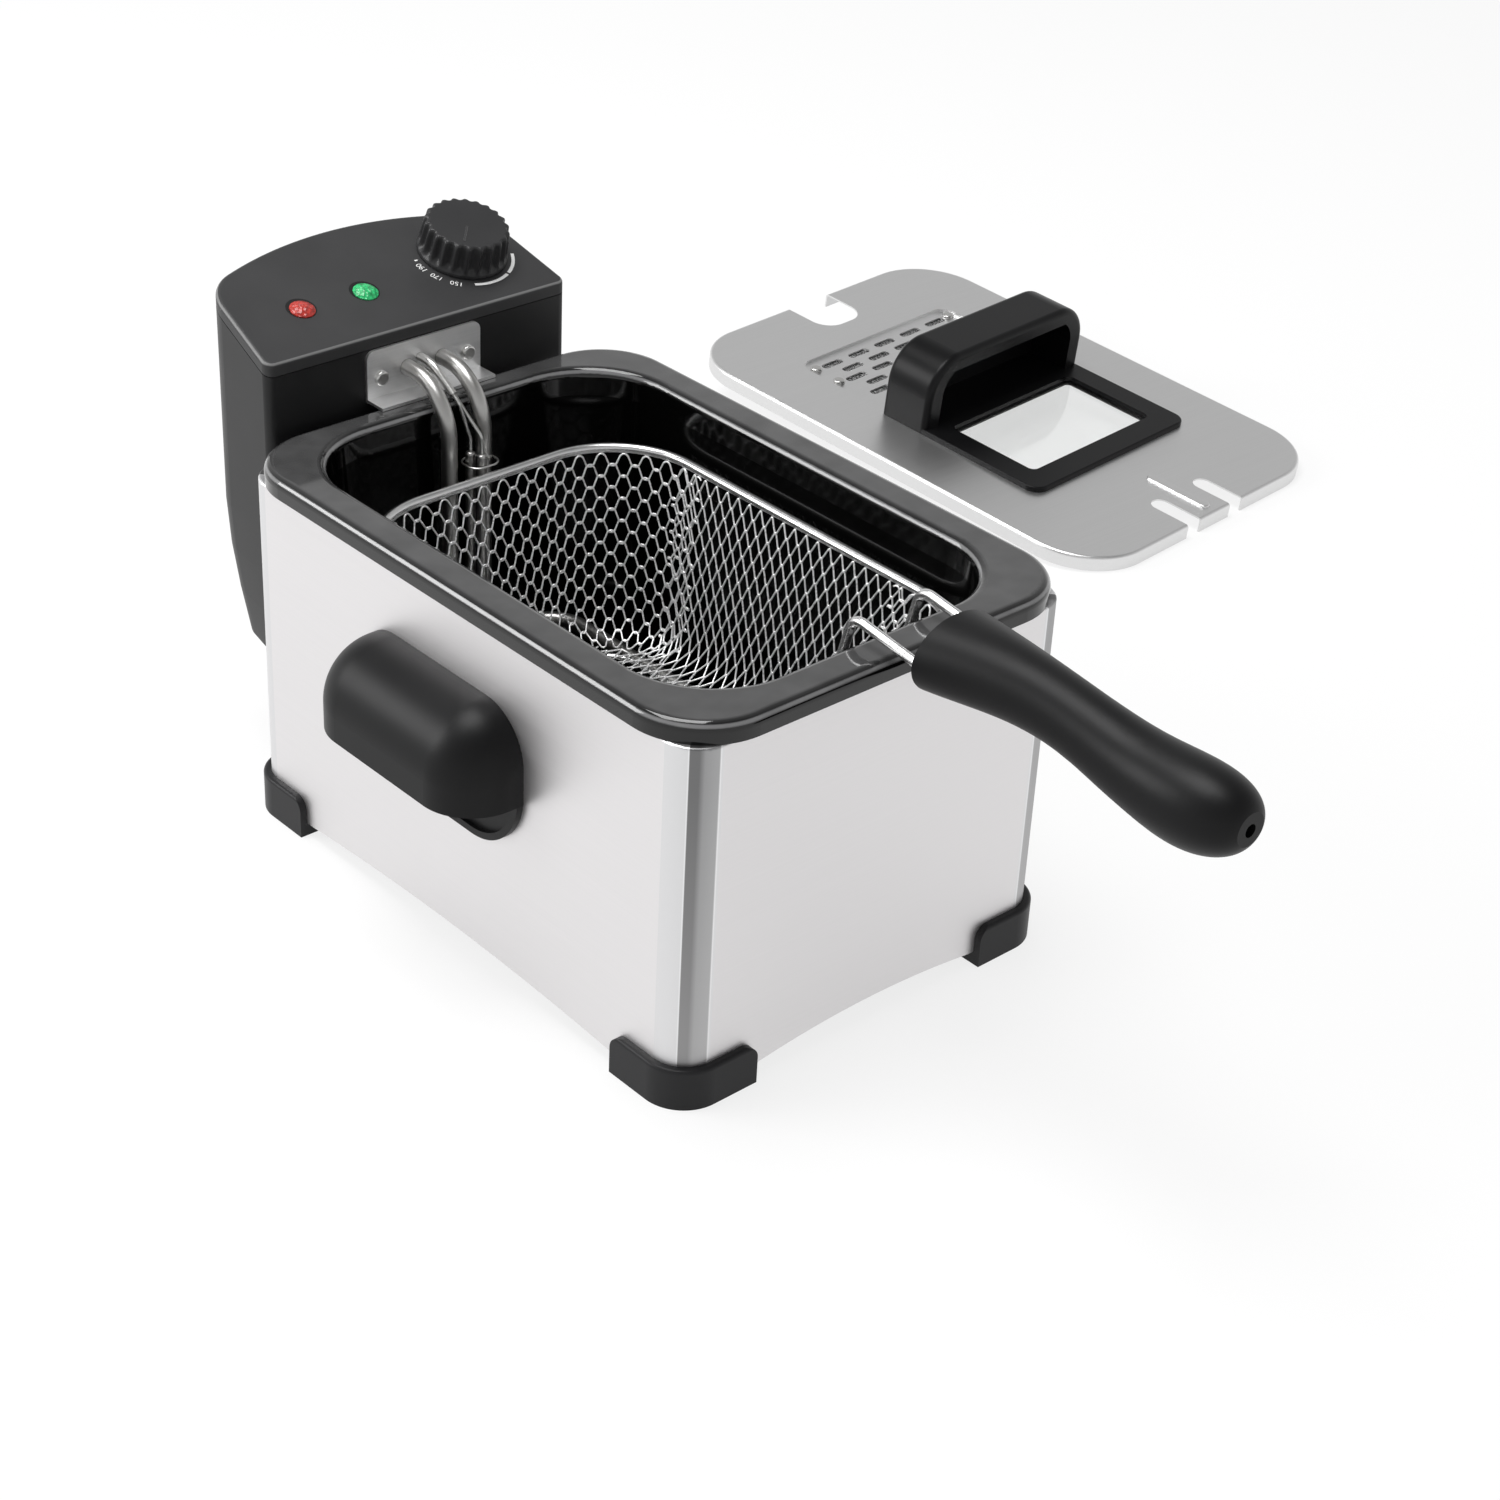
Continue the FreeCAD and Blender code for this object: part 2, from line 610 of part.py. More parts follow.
def dial_knob():
    """Fluted knob with a flared foot, hollow only for its spindle."""
    gap = 0.5
    foot_ring = upright(KNOB_RADIUS, gap, gap + 1.6)
    body = Part.makeCone(KNOB_RADIUS - 0.6, KNOB_TOP_RADIUS, KNOB_HEIGHT - gap - 1.6, Vector(0, 0, gap + 1.6))
    body = body.makeFillet(0.8, edges_at(body, KNOB_HEIGHT))
    ring = KNOB_TOP_RADIUS + 1.35
    flutes = []
    for index in range(KNOB_FLUTES):
        angle = 2 * math.pi * index / KNOB_FLUTES
        foot_point = Vector(ring * math.cos(angle), ring * math.sin(angle), 4.2)
        flutes.append(Part.makeCylinder(1.9, KNOB_HEIGHT, foot_point))
    body = body.cut(Part.makeCompound(flutes))
    knob = body.fuse(foot_ring).removeSplitter()
    knob = knob.cut(upright(SPINDLE_RADIUS, -1, 10.0))
    return on_panel(knob, KNOB_X, KNOB_ALONG)


def element_plate():
    """Steel plate on the head's front with a lip that rests over the tank's rim."""
    half_x = PLATE_HALF_X
    half_z = (PLATE_HIGH - PLATE_LOW) / 2
    face = HEAD_FRONT - PLATE_SHEET
    plate = slab(half_x, half_z, 4.0, 0, PLATE_SHEET)
    plate.rotate(Vector(), Vector(1, 0, 0), 90)
    plate.translate(Vector(0, HEAD_FRONT, PLATE_LOW + half_z))
    square = block((-half_x, face, PLATE_LOW), (half_x, HEAD_FRONT, PLATE_LOW + 5))
    lip = block((-half_x, HEAD_FRONT - 12, PLATE_LOW), (half_x, HEAD_FRONT, PLATE_LOW + PLATE_SHEET))
    plate = plate.multiFuse([square, lip]).removeSplitter()
    holes = [SLEEVE_EXIT, LIMITER_EXIT]
    for side in (1, -1):
        holes.append((side * TUBE_HALF_GAP, TUBE_EXIT_Z, TUBE_RADIUS))
        holes.append((side * PLATE_SCREW_X, PLATE_SCREW_Z, 1.6))
    for x, z, radius in holes:
        plate = plate.cut(rod((x, face - 1, z), (x, HEAD_FRONT + 1, z), radius + 0.1))
    return plate


def plate_screws():
    """Two screws that hold the element plate to the housing."""
    seat = HEAD_FRONT - PLATE_SHEET
    return Part.makeCompound([pan_head_screw((x, seat, PLATE_SCREW_Z), (0, -1, 0), 1.65, 7)
                              for x in (-PLATE_SCREW_X, PLATE_SCREW_X)])


def heating_element():
    """One bent tube: out of the plate, down into the oil and round below the basket."""
    gap, drop, low = TUBE_HALF_GAP, TUBE_DROP_Y, TUBE_FLOOR_Z
    outer, inner = 50.0, 10.0
    front, back = -96.0, 74.0
    half = [
        ((-gap, 168.0, TUBE_EXIT_Z), 0.0),
        ((-gap, drop, TUBE_EXIT_Z), 24.0),
        ((-gap, drop, low), 14.0),
        ((-outer, drop, low), 18.0),
        ((-outer, front, low), 19.5),
        ((-inner, front, low), 19.5),
        ((-inner, back, low), 9.5),
    ]
    other = [((-x, y, z), bend) for (x, y, z), bend in reversed(half)]
    return bent_tube(half + other, TUBE_RADIUS)


def sensor_bulb(place):
    """Sealed sensor tube beside the element's right leg."""
    x, y, radius = place
    bulb = rod((x, y, SENSOR_LOW_Z), (x, y, SENSOR_TOP_Z), radius)
    return bulb.makeFillet(radius * 0.6, [edge for edge in bulb.Edges if edge.Closed])


def capillary_sleeve():
    """Heat-proof sleeve over the thermostat's capillary where it leaves the plate."""
    x, z, radius = SLEEVE_EXIT
    return bent_tube([((x, 165, z), 0), ((x, 139, z), 12.0), (SLEEVE_END, 0)], radius)


def thermostat_capillary():
    """Thin tube from the sleeve to the thermostat's bulb."""
    x, y, radius = THERMOSTAT_BULB
    return bent_tube([(SLEEVE_END, 0), (SLEEVE_TIP, 3.0), ((x, y, 152.0), 6.0), ((x, y, SENSOR_TOP_Z), 0)], 0.8)


def limiter_capillary():
    """Thin tube from the head to the overheat limiter's bulb."""
    x, y, radius = LIMITER_BULB
    exit_x, exit_z, wire = LIMITER_EXIT
    return bent_tube([((exit_x, 165, exit_z), 0), ((exit_x, 136, exit_z), 10.0), ((x, y, 154.0), 5.0),
                      ((x, y, SENSOR_TOP_Z), 0)], wire)


def sensor_clip():
    """Wire loop that ties the bulbs to the element's leg."""
    return wire_loop(7.4, 6.2, 5.0, 141.0, 0.5, (6.0, 117.1))


def overheat_limiter():
    """Limiter body behind its reset button."""
    return block((RESET_X - 10, 186, REAR_FITTING_Z - 12), (RESET_X + 10, 203, REAR_FITTING_Z + 12))


def reset_button():
    """Round button through the rear wall, proud by its travel and a little more."""
    button = rod((RESET_X, 205.3, REAR_FITTING_Z), (RESET_X, 214.3, REAR_FITTING_Z), RESET_RADIUS)
    crown = [edge for edge in button.Edges if edge.Closed and edge.BoundBox.YMin > 214]
    return button.makeFillet(0.8, crown)


def terminal_block():
    """Terminal block on the housing's floor, with a row of wire holes."""
    body = block((-62, 165, HEAD_BOTTOM + HEAD_WALL), (-22, 183, HEAD_BOTTOM + HEAD_WALL + 16))
    for index in range(3):
        x = -54.0 + 12.0 * index
        body = body.cut(rod((x, 160, 70), (x, 190, 70), 2.0))
    return body


def safety_switch():
    """Micro switch that the rail presses when the head is fully down."""
    body = block((17, HEAD_FRONT + HEAD_WALL, 104), (27, HEAD_FRONT + HEAD_WALL + 14, 126))
    roller = block((10, HEAD_FRONT + HEAD_WALL + 3.2, 121), (17, HEAD_FRONT + HEAD_WALL + 6, 124))
    return body.fuse(roller).removeSplitter()


def cord_gland():
    """Flanged sleeve in the rear wall where the supply cord would enter."""
    z = REAR_FITTING_Z
    body = rod((GLAND_X, 203, z), (GLAND_X, 222, z), GLAND_RADIUS)
    flange = rod((GLAND_X, 208, z), (GLAND_X, 216, z), 9.0).cut(head_solid(0.0, 0.0))
    gland = body.fuse(flange).removeSplitter()
    return gland.cut(rod((GLAND_X, 200, z), (GLAND_X, 230, z), 3.6))


def internal_wires():
    """Insulated wires from the terminals to the lamps and from the limiter to the thermostat."""
    slope = math.radians(PANEL_SLOPE)
    lamp_y = HEAD_FRONT + LAMP_ALONG * math.cos(slope) + 20 * math.sin(slope)
    lamp_z = PANEL_FRONT_Z + LAMP_ALONG * math.sin(slope) - 20 * math.cos(slope)
    below = Vector(0, math.sin(slope), -math.cos(slope)) * 14
    wires = []
    for terminal_x, lamp_x in zip((-54.0, -30.0), LAMP_X):
        lamp = Vector(lamp_x, lamp_y, lamp_z)
        wires.append([((terminal_x, 174, 76.5), 0), ((terminal_x, 174, 148), 8),
                      (tuple(lamp + below), 6), (tuple(lamp), 0)])
    wires.append([((36, 186, 128), 0), ((36, 178, 128), 4), ((22, 178, 128), 6),
                  ((22, 178, 184), 4), ((30.2, 178, 184), 0)])
    return Part.makeCompound([bent_tube(route, 1.1) for route in wires])


def basket_solid(inset):
    """Tapered basket filled solid, set in by inset."""
    half_x, half_y, corner = BASKET_RIM_HALF
    top = BASKET_RIM_Z - 1.6
    low = BASKET_FLOOR_Z + inset
    sections = [
        (BASKET_FOOT_HALF[0] - inset, BASKET_FOOT_HALF[1] - inset, BASKET_FOOT_HALF[2] - inset, low),
        (half_x - 1.4 - inset, half_y - 1.4 - inset, corner - 1.4 - inset, top),
    ]
    body = tapered(sections, (BASKET_X, BASKET_Y))
    return body.makeFillet(BASKET_FILLET - inset, edges_at(body, low))


def wall_gaps(foot, turn, count, pitch, rows):
    """Blocks for rows of gaps in one straight wall that faces along turn."""
    width, height = GAP_SIZE
    gaps = []
    for z in rows:
        for index in range(count):
            along = (index - (count - 1) / 2) * pitch
            gap = block((-14, along - width / 2, z - height / 2), (24, along + width / 2, z + height / 2))
            gap.rotate(Vector(), Vector(0, 0, 1), turn)
            gap.translate(foot)
            gaps.append(gap)
    return gaps


def corner_gaps(side_x, side_y):
    """Blocks for rows of gaps that fan out round one corner."""
    half_x, half_y, corner = BASKET_FOOT_HALF
    axis = Vector(BASKET_X + side_x * (half_x - corner), BASKET_Y + side_y * (half_y - corner), 0)
    middle = math.degrees(math.atan2(side_y, side_x))
    width, height = GAP_SIZE
    gaps = []
    for z in GAP_ROWS_Z:
        for index in range(CORNER_GAPS):
            turn = middle + (index - (CORNER_GAPS - 1) / 2) * 90.0 / CORNER_GAPS
            gap = block((corner - 10, -width / 2, z - height / 2), (corner + 26, width / 2, z + height / 2))
            gap.rotate(Vector(), Vector(0, 0, 1), turn)
            gap.translate(axis)
            gaps.append(gap)
    return gaps


def floor_gaps():
    """Blocks for the grid of gaps in the basket's floor."""
    gaps = []
    for column in range(FLOOR_GAPS[0]):
        x = BASKET_X + (column - (FLOOR_GAPS[0] - 1) / 2) * FLOOR_GAP_PITCH[0]
        for row in range(FLOOR_GAPS[1]):
            y = BASKET_Y + (row - (FLOOR_GAPS[1] - 1) / 2) * FLOOR_GAP_PITCH[1]
            low = (x - FLOOR_GAP_SIZE[0] / 2, y - FLOOR_GAP_SIZE[1] / 2, BASKET_FLOOR_Z - 5)
            high = (x + FLOOR_GAP_SIZE[0] / 2, y + FLOOR_GAP_SIZE[1] / 2, BASKET_FLOOR_Z + 5)
            gaps.append(block(low, high))
    return gaps


def net_gaps():
    """All the gaps of the basket's net."""
    half_x, half_y, corner = BASKET_FOOT_HALF
    long_pitch = 2 * (half_y - corner) / LONG_GAPS
    short_pitch = 2 * (half_x - corner) / SHORT_GAPS
    gaps = floor_gaps()
    for side in (1, -1):
        gaps += wall_gaps(Vector(BASKET_X + side * half_x, BASKET_Y, 0), 90 - 90 * side,
                          LONG_GAPS, long_pitch, GAP_ROWS_Z)
        rows = GAP_ROWS_Z if side > 0 else GAP_ROWS_Z[:-1]
        gaps += wall_gaps(Vector(BASKET_X, BASKET_Y + side * half_y, 0), 90 * side,
                          SHORT_GAPS, short_pitch, rows)
        for end in (1, -1):
            gaps += corner_gaps(side, end)
    return gaps


def basket_mesh():
    """Net body of the basket as a thin open shell, its top edge tucked under the rim wire."""
    shell = basket_solid(0.0).cut(basket_solid(BASKET_MESH))
    half_x, half_y, corner = BASKET_RIM_HALF
    top = BASKET_RIM_Z - 1.6
    lift = slab(half_x - 1.4 - BASKET_MESH, half_y - 1.4 - BASKET_MESH, corner - 3.0, top - 0.5, top + 5,
                (BASKET_X, BASKET_Y))
    return shell.cut(lift).cut(basket_rim()).cut(Part.makeCompound(net_gaps()))


def basket_rim():
    """Thick round wire that frames the basket's mouth."""
    half_x, half_y, corner = BASKET_RIM_HALF
    return wire_loop(half_x, half_y, corner, BASKET_RIM_Z, BASKET_WIRE, (BASKET_X, BASKET_Y))


def basket_base_wire():
    """Wire frame under the basket's floor."""
    radius = 1.7
    z = BASKET_FLOOR_Z - radius - 0.05
    return wire_loop(42.0, 78.0, 18.0, z, radius, (BASKET_X, BASKET_Y))


def handle_pin_x(side):
    """Middle of the eyelet plate on one side of the handle."""
    return HANDLE_X + side * (HANDLE_HALF_GAP + 8.0)


def handle_clips():
    """Two eyelet plates inside the basket's front wall that hold the handle's ends."""
    clips = []
    for side in (1, -1):
        x = handle_pin_x(side)
        plate = block((x - 0.8, PIVOT_Y - 7, PIVOT_Z - 4.5), (x + 0.8, PIVOT_Y + 4, PIVOT_Z + 10))
        plate = plate.cut(rod((x - 5, PIVOT_Y, PIVOT_Z), (x + 5, PIVOT_Y, PIVOT_Z), HANDLE_WIRE + RUNNING_GAP))
        plate = plate.cut(filled_outside_basket())
        clips.append(plate.cut(basket_rim()))
    return Part.makeCompound(clips)


def filled_outside_basket():
    """The space from the mesh's inner face outwards, near the basket's front."""
    around = block((-60, -140, 90), (90, -80, 150))
    return around.cut(basket_solid(BASKET_MESH + 0.05))


def handle_wires():
    """Two bent wires: pin in the eyelet, leg up, over the rim and into the grip."""
    wires = []
    for side in (1, -1):
        x = HANDLE_X + side * HANDLE_HALF_GAP
        pin_x = handle_pin_x(side) + side * 3.0
        route = [
            ((pin_x, PIVOT_Y, PIVOT_Z), 0),
            ((x, PIVOT_Y, PIVOT_Z), 4.0),
            ((x, HOOK_Y, HOOK_Z), 6.0),
            ((x, GRIP_MOUTH_Y - 6, 169.5), 14.0),
            ((HANDLE_X + side * 7.5, GRIP_MOUTH_Y - 40, 170.5), 0),
        ]
        wires.append(bent_tube(route, HANDLE_WIRE))
    return Part.makeCompound(wires)


def oval(y, z, half_x, half_z):
    """Upright oval facing along Y, in the handle's middle plane."""
    middle = Vector(HANDLE_X, y, z)
    wide = half_x >= half_z
    long_axis = Vector(1, 0, 0) if wide else Vector(0, 0, 1)
    ends = (max(half_x, half_z), min(half_x, half_z))
    cross = Vector(0, 0, 1) if wide else Vector(1, 0, 0)
    curve = Part.Ellipse(middle + long_axis * ends[0], middle + cross * ends[1], middle)
    return Part.Wire([curve.toShape()])


def handle_grip():
    """Long moulded grip with a flared mouth, a waist and a hole in its tip."""
    grip = Part.makeLoft([oval(*station) for station in GRIP_STATIONS], True, False)
    tip = GRIP_STATIONS[-1][0]
    grip = grip.cut(rod((HANDLE_X, tip - 5, 165.0), (HANDLE_X, tip + 12, 165.0), 2.6))
    return grip.cut(handle_wires())


def lay_lid(shape):
    """Rest the lid on its front edge and on the near edge of its filter tray, beside the fryer."""
    span = LID_HALF_Y + VENT_MIDDLE_Y - TRAY_HALF[1]
    tilt = math.degrees(math.atan2(-TRAY_FLOOR, span))
    shape = shape.copy()
    shape.rotate(Vector(0, -LID_HALF_Y, 0), Vector(1, 0, 0), tilt)
    shape.rotate(Vector(), Vector(0, 0, 1), LID_TURN)
    shape.translate(Vector(LID_X, LID_Y, 0))
    return shape


def lid_screw_places():
    """Plan position of the screws that hold the filter tray."""
    return [(side * 56.5, VENT_MIDDLE_Y + y) for side in (1, -1) for y in (30.0, 13.0)]


def vent_slots():
    """Rows of oblong steam slots, every second row shifted."""
    slots = []
    for row in range(VENT_ROWS):
        y = VENT_MIDDLE_Y + 30.0 - 9.0 * row
        shift = -43.0 if row % 2 == 0 else -36.0
        for column in range(VENT_COLUMNS):
            x = shift + 22.0 * column
            if abs(x) < 47:
                slots.append(slab(7.8, 2.3, 2.25, 0, 12, (x, y)))
    return Part.makeCompound(slots)


def lid_plate():
    """Pressed steel lid with a rear notch, two front slots, a sunk vent and a window hole."""
    sheet = LID_SHEET
    vent_floor = LID_SKIRT - VENT_DEPTH
    vent_middle = (0, VENT_MIDDLE_Y)
    lid = slab(LID_HALF_X, LID_HALF_Y, LID_CORNER, 0, LID_SKIRT)
    lid = lid.makeFillet(1.8, edges_at(lid, LID_SKIRT))
    lid = lid.cut(slab(*VENT_HALF, 9.0, vent_floor, LID_SKIRT + 1, vent_middle))
    hollow = slab(LID_HALF_X - sheet, LID_HALF_Y - sheet, LID_CORNER - sheet, -1, LID_SKIRT - sheet)
    hollow = hollow.makeFillet(0.9, edges_at(hollow, LID_SKIRT - sheet))
    under_vent = slab(VENT_HALF[0] + sheet, VENT_HALF[1] + sheet, 9.0 + sheet,
                      vent_floor - sheet, LID_SKIRT, vent_middle)
    lid = lid.cut(hollow.cut(under_vent))
    bead = slab(3.2, 20.0, 3.1, LID_SKIRT - 0.3, LID_SKIRT + 1.1, (0, -121.0))
    lid = lid.fuse(bead.makeFillet(0.9, edges_at(bead, LID_SKIRT + 1.1)))
    cutters = [slab(16.5, 30.0, 12.0, -5, 20, (0, 145.0))]
    cutters += [slab(5.5, 20.0, 5.4, -5, 20, (side * 18.5, -138.5)) for side in (1, -1)]
    cutters.append(slab(58.0, 35.5, 5.0, -5, 20, (0, WINDOW_MIDDLE_Y)))
    cutters += [rod((x, y, 0), (x, y, 12), 1.65) for x, y in lid_screw_places()]
    cutters.append(vent_slots())
    for cutter in cutters:
        lid = lid.cut(cutter)
    return lay_lid(lid.removeSplitter())


def filter_tray():
    """Tray under the vent, open above, with steam holes in its floor."""
    top = LID_SKIRT - VENT_DEPTH - LID_SHEET
    middle = (0, VENT_MIDDLE_Y)
    tray = slab(*TRAY_HALF, 6.0, TRAY_FLOOR, top, middle)
    tray = tray.cut(slab(TRAY_HALF[0] - 1, TRAY_HALF[1] - 1, 5.0, TRAY_FLOOR + 1, top + 1, middle))
    for index in range(6):
        x = -42.5 + 17.0 * index
        tray = tray.cut(slab(6.0, 24.0, 5.9, TRAY_FLOOR - 1, TRAY_FLOOR + 3, (x, VENT_MIDDLE_Y)))
    for x, y in lid_screw_places():
        tray = tray.fuse(rod((x, y, TRAY_FLOOR + 0.5), (x, y, top), 3.0))
        tray = tray.cut(rod((x, y, top - 8), (x, y, top + 1), 1.65))
    return lay_lid(tray.removeSplitter())


def filter_pad():
    """Grease filter that lies in the tray below the vent slots."""
    top = LID_SKIRT - VENT_DEPTH - LID_SHEET - 0.4
    pad = slab(TRAY_HALF[0] - 1.5, TRAY_HALF[1] - 1.5, 4.5, top - 9.0, top, (0, VENT_MIDDLE_Y))
    for x, y in lid_screw_places():
        pad = pad.cut(slab(5.0, 5.0, 3.4, -30, 30, (x + math.copysign(1.5, x), y)))
    return lay_lid(pad)


def lid_screws():
    """Four screws through the vent's floor into the tray."""
    seat = LID_SKIRT - VENT_DEPTH
    screws = [pan_head_screw((x, y, seat), (0, 0, 1), 1.6, 8) for x, y in lid_screw_places()]
    return lay_lid(Part.makeCompound(screws))


def lid_handle():
    """Moulded hood-shaped handle and window frame in one piece."""
    top = LID_SKIRT
    middle = (0, WINDOW_MIDDLE_Y)
    frame = slab(*FRAME_HALF, 8.0, top + 0.02, top + 3.0, middle)
    frame = frame.makeFillet(1.0, edges_at(frame, top + 3.0))
    collar = slab(57.6, 35.1, 4.8, top - 3.6, top + 0.1, middle)
    arch = lid_arch(FRAME_HALF[0], HANDLE_ARCH_TOP, 22.0, 0.0, 31.0)
    arch = arch.makeFillet(3.5, [edge for edge in arch.Edges if edge.BoundBox.YLength < 1e-6
                                 and edge.BoundBox.ZMax > top + 4])
    hollow = lid_arch(FRAME_HALF[0] - 11.0, HANDLE_ARCH_TOP - 10.0, 15.0, -5.0, 25.5)
    hollow.translate(Vector(0, 0, 3.0))
    hollow = hollow.common(block((-90, -20, top + 3.0), (90, 40, HANDLE_ARCH_TOP - 9.0)))
    body = frame.multiFuse([collar, arch]).cut(hollow)
    body = body.cut(slab(*PANE_HALF, 4.0, top - 10, top + 10, middle))
    body = body.cut(slab(PANE_HALF[0] + 3.2, PANE_HALF[1] + 3.2, 4.0, top - 10, top + 0.6, middle))
    return lay_lid(body.removeSplitter())


def lid_arch(half_x, top, radius, near, far):
    """Upright plate across the lid with rounded upper corners, from near to far along Y."""
    low = LID_SKIRT + 0.02
    height = top - low
    face = slab(half_x, height, radius, 0, far - near)
    face.rotate(Vector(), Vector(1, 0, 0), 90)
    face.translate(Vector(0, far, low))
    return face.common(block((-200, -200, low), (200, 200, top + 50)))


def window_pane():
    """Flat glass held in the frame's pocket."""
    half = (PANE_HALF[0] + 3.0, PANE_HALF[1] + 3.0)
    return lay_lid(slab(*half, 3.9, LID_SKIRT - 2.4, LID_SKIRT + 0.5, (0, WINDOW_MIDDLE_Y)))


def window_seal():
    """Rubber gasket under the pane's edge."""
    middle = (0, WINDOW_MIDDLE_Y)
    half = (PANE_HALF[0] + 3.0, PANE_HALF[1] + 3.0)
    ring = slab(*half, 3.9, LID_SKIRT - 3.6, LID_SKIRT - 2.45, middle)
    return lay_lid(ring.cut(slab(PANE_HALF[0] - 1, PANE_HALF[1] - 1, 3.0, 0, 20, middle)))


PIECES = {
    "outer_casing": outer_casing,
    "base_plate": base_plate,
    "foot_front_left": lambda: foot(-1, -1),
    "foot_front_right": lambda: foot(1, -1),
    "foot_rear_left": lambda: foot(-1, 1),
    "foot_rear_right": lambda: foot(1, 1),
    "foot_screws": foot_screws,
    "side_handle_left": lambda: side_handle(-1),
    "side_handle_right": lambda: side_handle(1),
    "side_handle_screws": side_handle_screws,
    "head_rail": head_rail,
    "rail_screws": rail_screws,
    "oil_tank": oil_tank,
    "head_body": head_body,
    "head_top_panel": head_top_panel,
    "power_lens": lambda: lamp_lens(LAMP_X[0]),
    "heat_lens": lambda: lamp_lens(LAMP_X[1]),
    "lamp_holders": lamp_holders,
    "thermostat": thermostat,
    "knob_spindle": knob_spindle,
    "dial_knob": dial_knob,
    "element_plate": element_plate,
    "plate_screws": plate_screws,
    "heating_element": heating_element,
    "capillary_sleeve": capillary_sleeve,
    "thermostat_capillary": thermostat_capillary,
    "limiter_capillary": limiter_capillary,
    "thermostat_bulb": lambda: sensor_bulb(THERMOSTAT_BULB),
    "limiter_bulb": lambda: sensor_bulb(LIMITER_BULB),
    "sensor_clip": sensor_clip,
    "overheat_limiter": overheat_limiter,
    "reset_button": reset_button,
    "terminal_block": terminal_block,
    "safety_switch": safety_switch,
    "cord_gland": cord_gland,
    "internal_wires": internal_wires,
    "basket_rim": basket_rim,
    "basket_mesh": basket_mesh,
    "basket_base_wire": basket_base_wire,
    "handle_clips": handle_clips,
    "handle_wires": handle_wires,
    "handle_grip": handle_grip,
    "lid_plate": lid_plate,
    "filter_tray": filter_tray,
    "filter_pad": filter_pad,
    "lid_screws": lid_screws,
    "lid_handle": lid_handle,
    "window_pane": window_pane,
    "window_seal": window_seal,
}

os.makedirs("parts", exist_ok=True)
for node, make in PIECES.items():
    shape = make()
    shape.translate(Vector(-SET_MIDDLE[0], -SET_MIDDLE[1], 0))
    print(node, "solids", len(shape.Solids), "valid", shape.isValid(), "volume", round(shape.Volume))
    shape.exportStep(f"parts/{node}.step")
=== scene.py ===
import json
import math

import bpy
from mathutils import Euler, Matrix, Vector

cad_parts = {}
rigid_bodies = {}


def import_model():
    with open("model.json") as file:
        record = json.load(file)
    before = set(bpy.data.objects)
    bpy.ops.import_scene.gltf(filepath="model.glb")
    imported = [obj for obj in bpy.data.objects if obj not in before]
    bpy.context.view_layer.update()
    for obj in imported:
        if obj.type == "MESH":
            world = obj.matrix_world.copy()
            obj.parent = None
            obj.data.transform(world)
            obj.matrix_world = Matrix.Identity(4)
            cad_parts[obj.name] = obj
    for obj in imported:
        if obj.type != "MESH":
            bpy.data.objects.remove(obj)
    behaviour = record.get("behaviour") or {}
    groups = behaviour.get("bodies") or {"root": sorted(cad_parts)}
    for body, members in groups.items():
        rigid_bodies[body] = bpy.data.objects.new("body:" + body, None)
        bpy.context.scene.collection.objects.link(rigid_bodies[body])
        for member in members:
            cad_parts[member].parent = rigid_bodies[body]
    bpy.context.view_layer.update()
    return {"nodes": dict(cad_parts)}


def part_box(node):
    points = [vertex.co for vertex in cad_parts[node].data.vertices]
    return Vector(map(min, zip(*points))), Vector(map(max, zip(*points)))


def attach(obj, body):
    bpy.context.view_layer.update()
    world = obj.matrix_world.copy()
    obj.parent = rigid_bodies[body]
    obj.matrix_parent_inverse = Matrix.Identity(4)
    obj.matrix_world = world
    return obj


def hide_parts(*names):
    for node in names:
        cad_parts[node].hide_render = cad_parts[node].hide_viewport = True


for leftover in list(bpy.data.objects):
    bpy.data.objects.remove(leftover)
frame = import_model()
MM = 0.001


# Outer casing: one strip of thin stainless sheet, wrapped round four corners and
# turned in at the top. A fine linished grain runs level round the body, and the bent
# corners carry a painted reflection: dark and bright bands, fainter near the feet.
def new_finish(name, colour, roughness, metallic=0.0):
    """Material and its shader, with plain values to start from."""
    finish = bpy.data.materials.new(name)
    finish.use_nodes = True
    shader = finish.node_tree.nodes["Principled BSDF"]
    shader.inputs["Base Color"].default_value = (*colour, 1.0)
    shader.inputs["Roughness"].default_value = roughness
    shader.inputs["Metallic"].default_value = metallic
    return finish, shader


def add_node(finish, kind, **settings):
    """Node with its own settings and the plain values of its sockets."""
    node = finish.node_tree.nodes.new(kind)
    for key, value in settings.items():
        if hasattr(node, key):
            setattr(node, key, value)
        else:
            node.inputs[key].default_value = value
    return node


def join(finish, start, end):
    """Links one socket to another."""
    finish.node_tree.links.new(start, end)


def place_pattern(finish, scale=(1, 1, 1), turn=(0, 0, 0), shift=(0, 0, 0)):
    """Object coordinates of the piece, moved, turned and stretched for a pattern."""
    where = add_node(finish, "ShaderNodeTexCoord")
    fit = add_node(finish, "ShaderNodeMapping", Scale=scale, Rotation=turn, Location=shift)
    join(finish, where.outputs["Object"], fit.inputs["Vector"])
    return fit.outputs["Vector"]


MIX_FIRST, MIX_SECOND, MIX_RESULT = 6, 7, 2  # the colour sockets of a mixing node


def two_tone(finish, mask, dark, light, target):
    """Colour between dark and light, by a mask."""
    mix = add_node(finish, "ShaderNodeMix", data_type="RGBA")
    mix.inputs[MIX_FIRST].default_value = (*dark, 1.0)
    mix.inputs[MIX_SECOND].default_value = (*light, 1.0)
    join(finish, mask, mix.inputs["Factor"])
    join(finish, mix.outputs[MIX_RESULT], target)


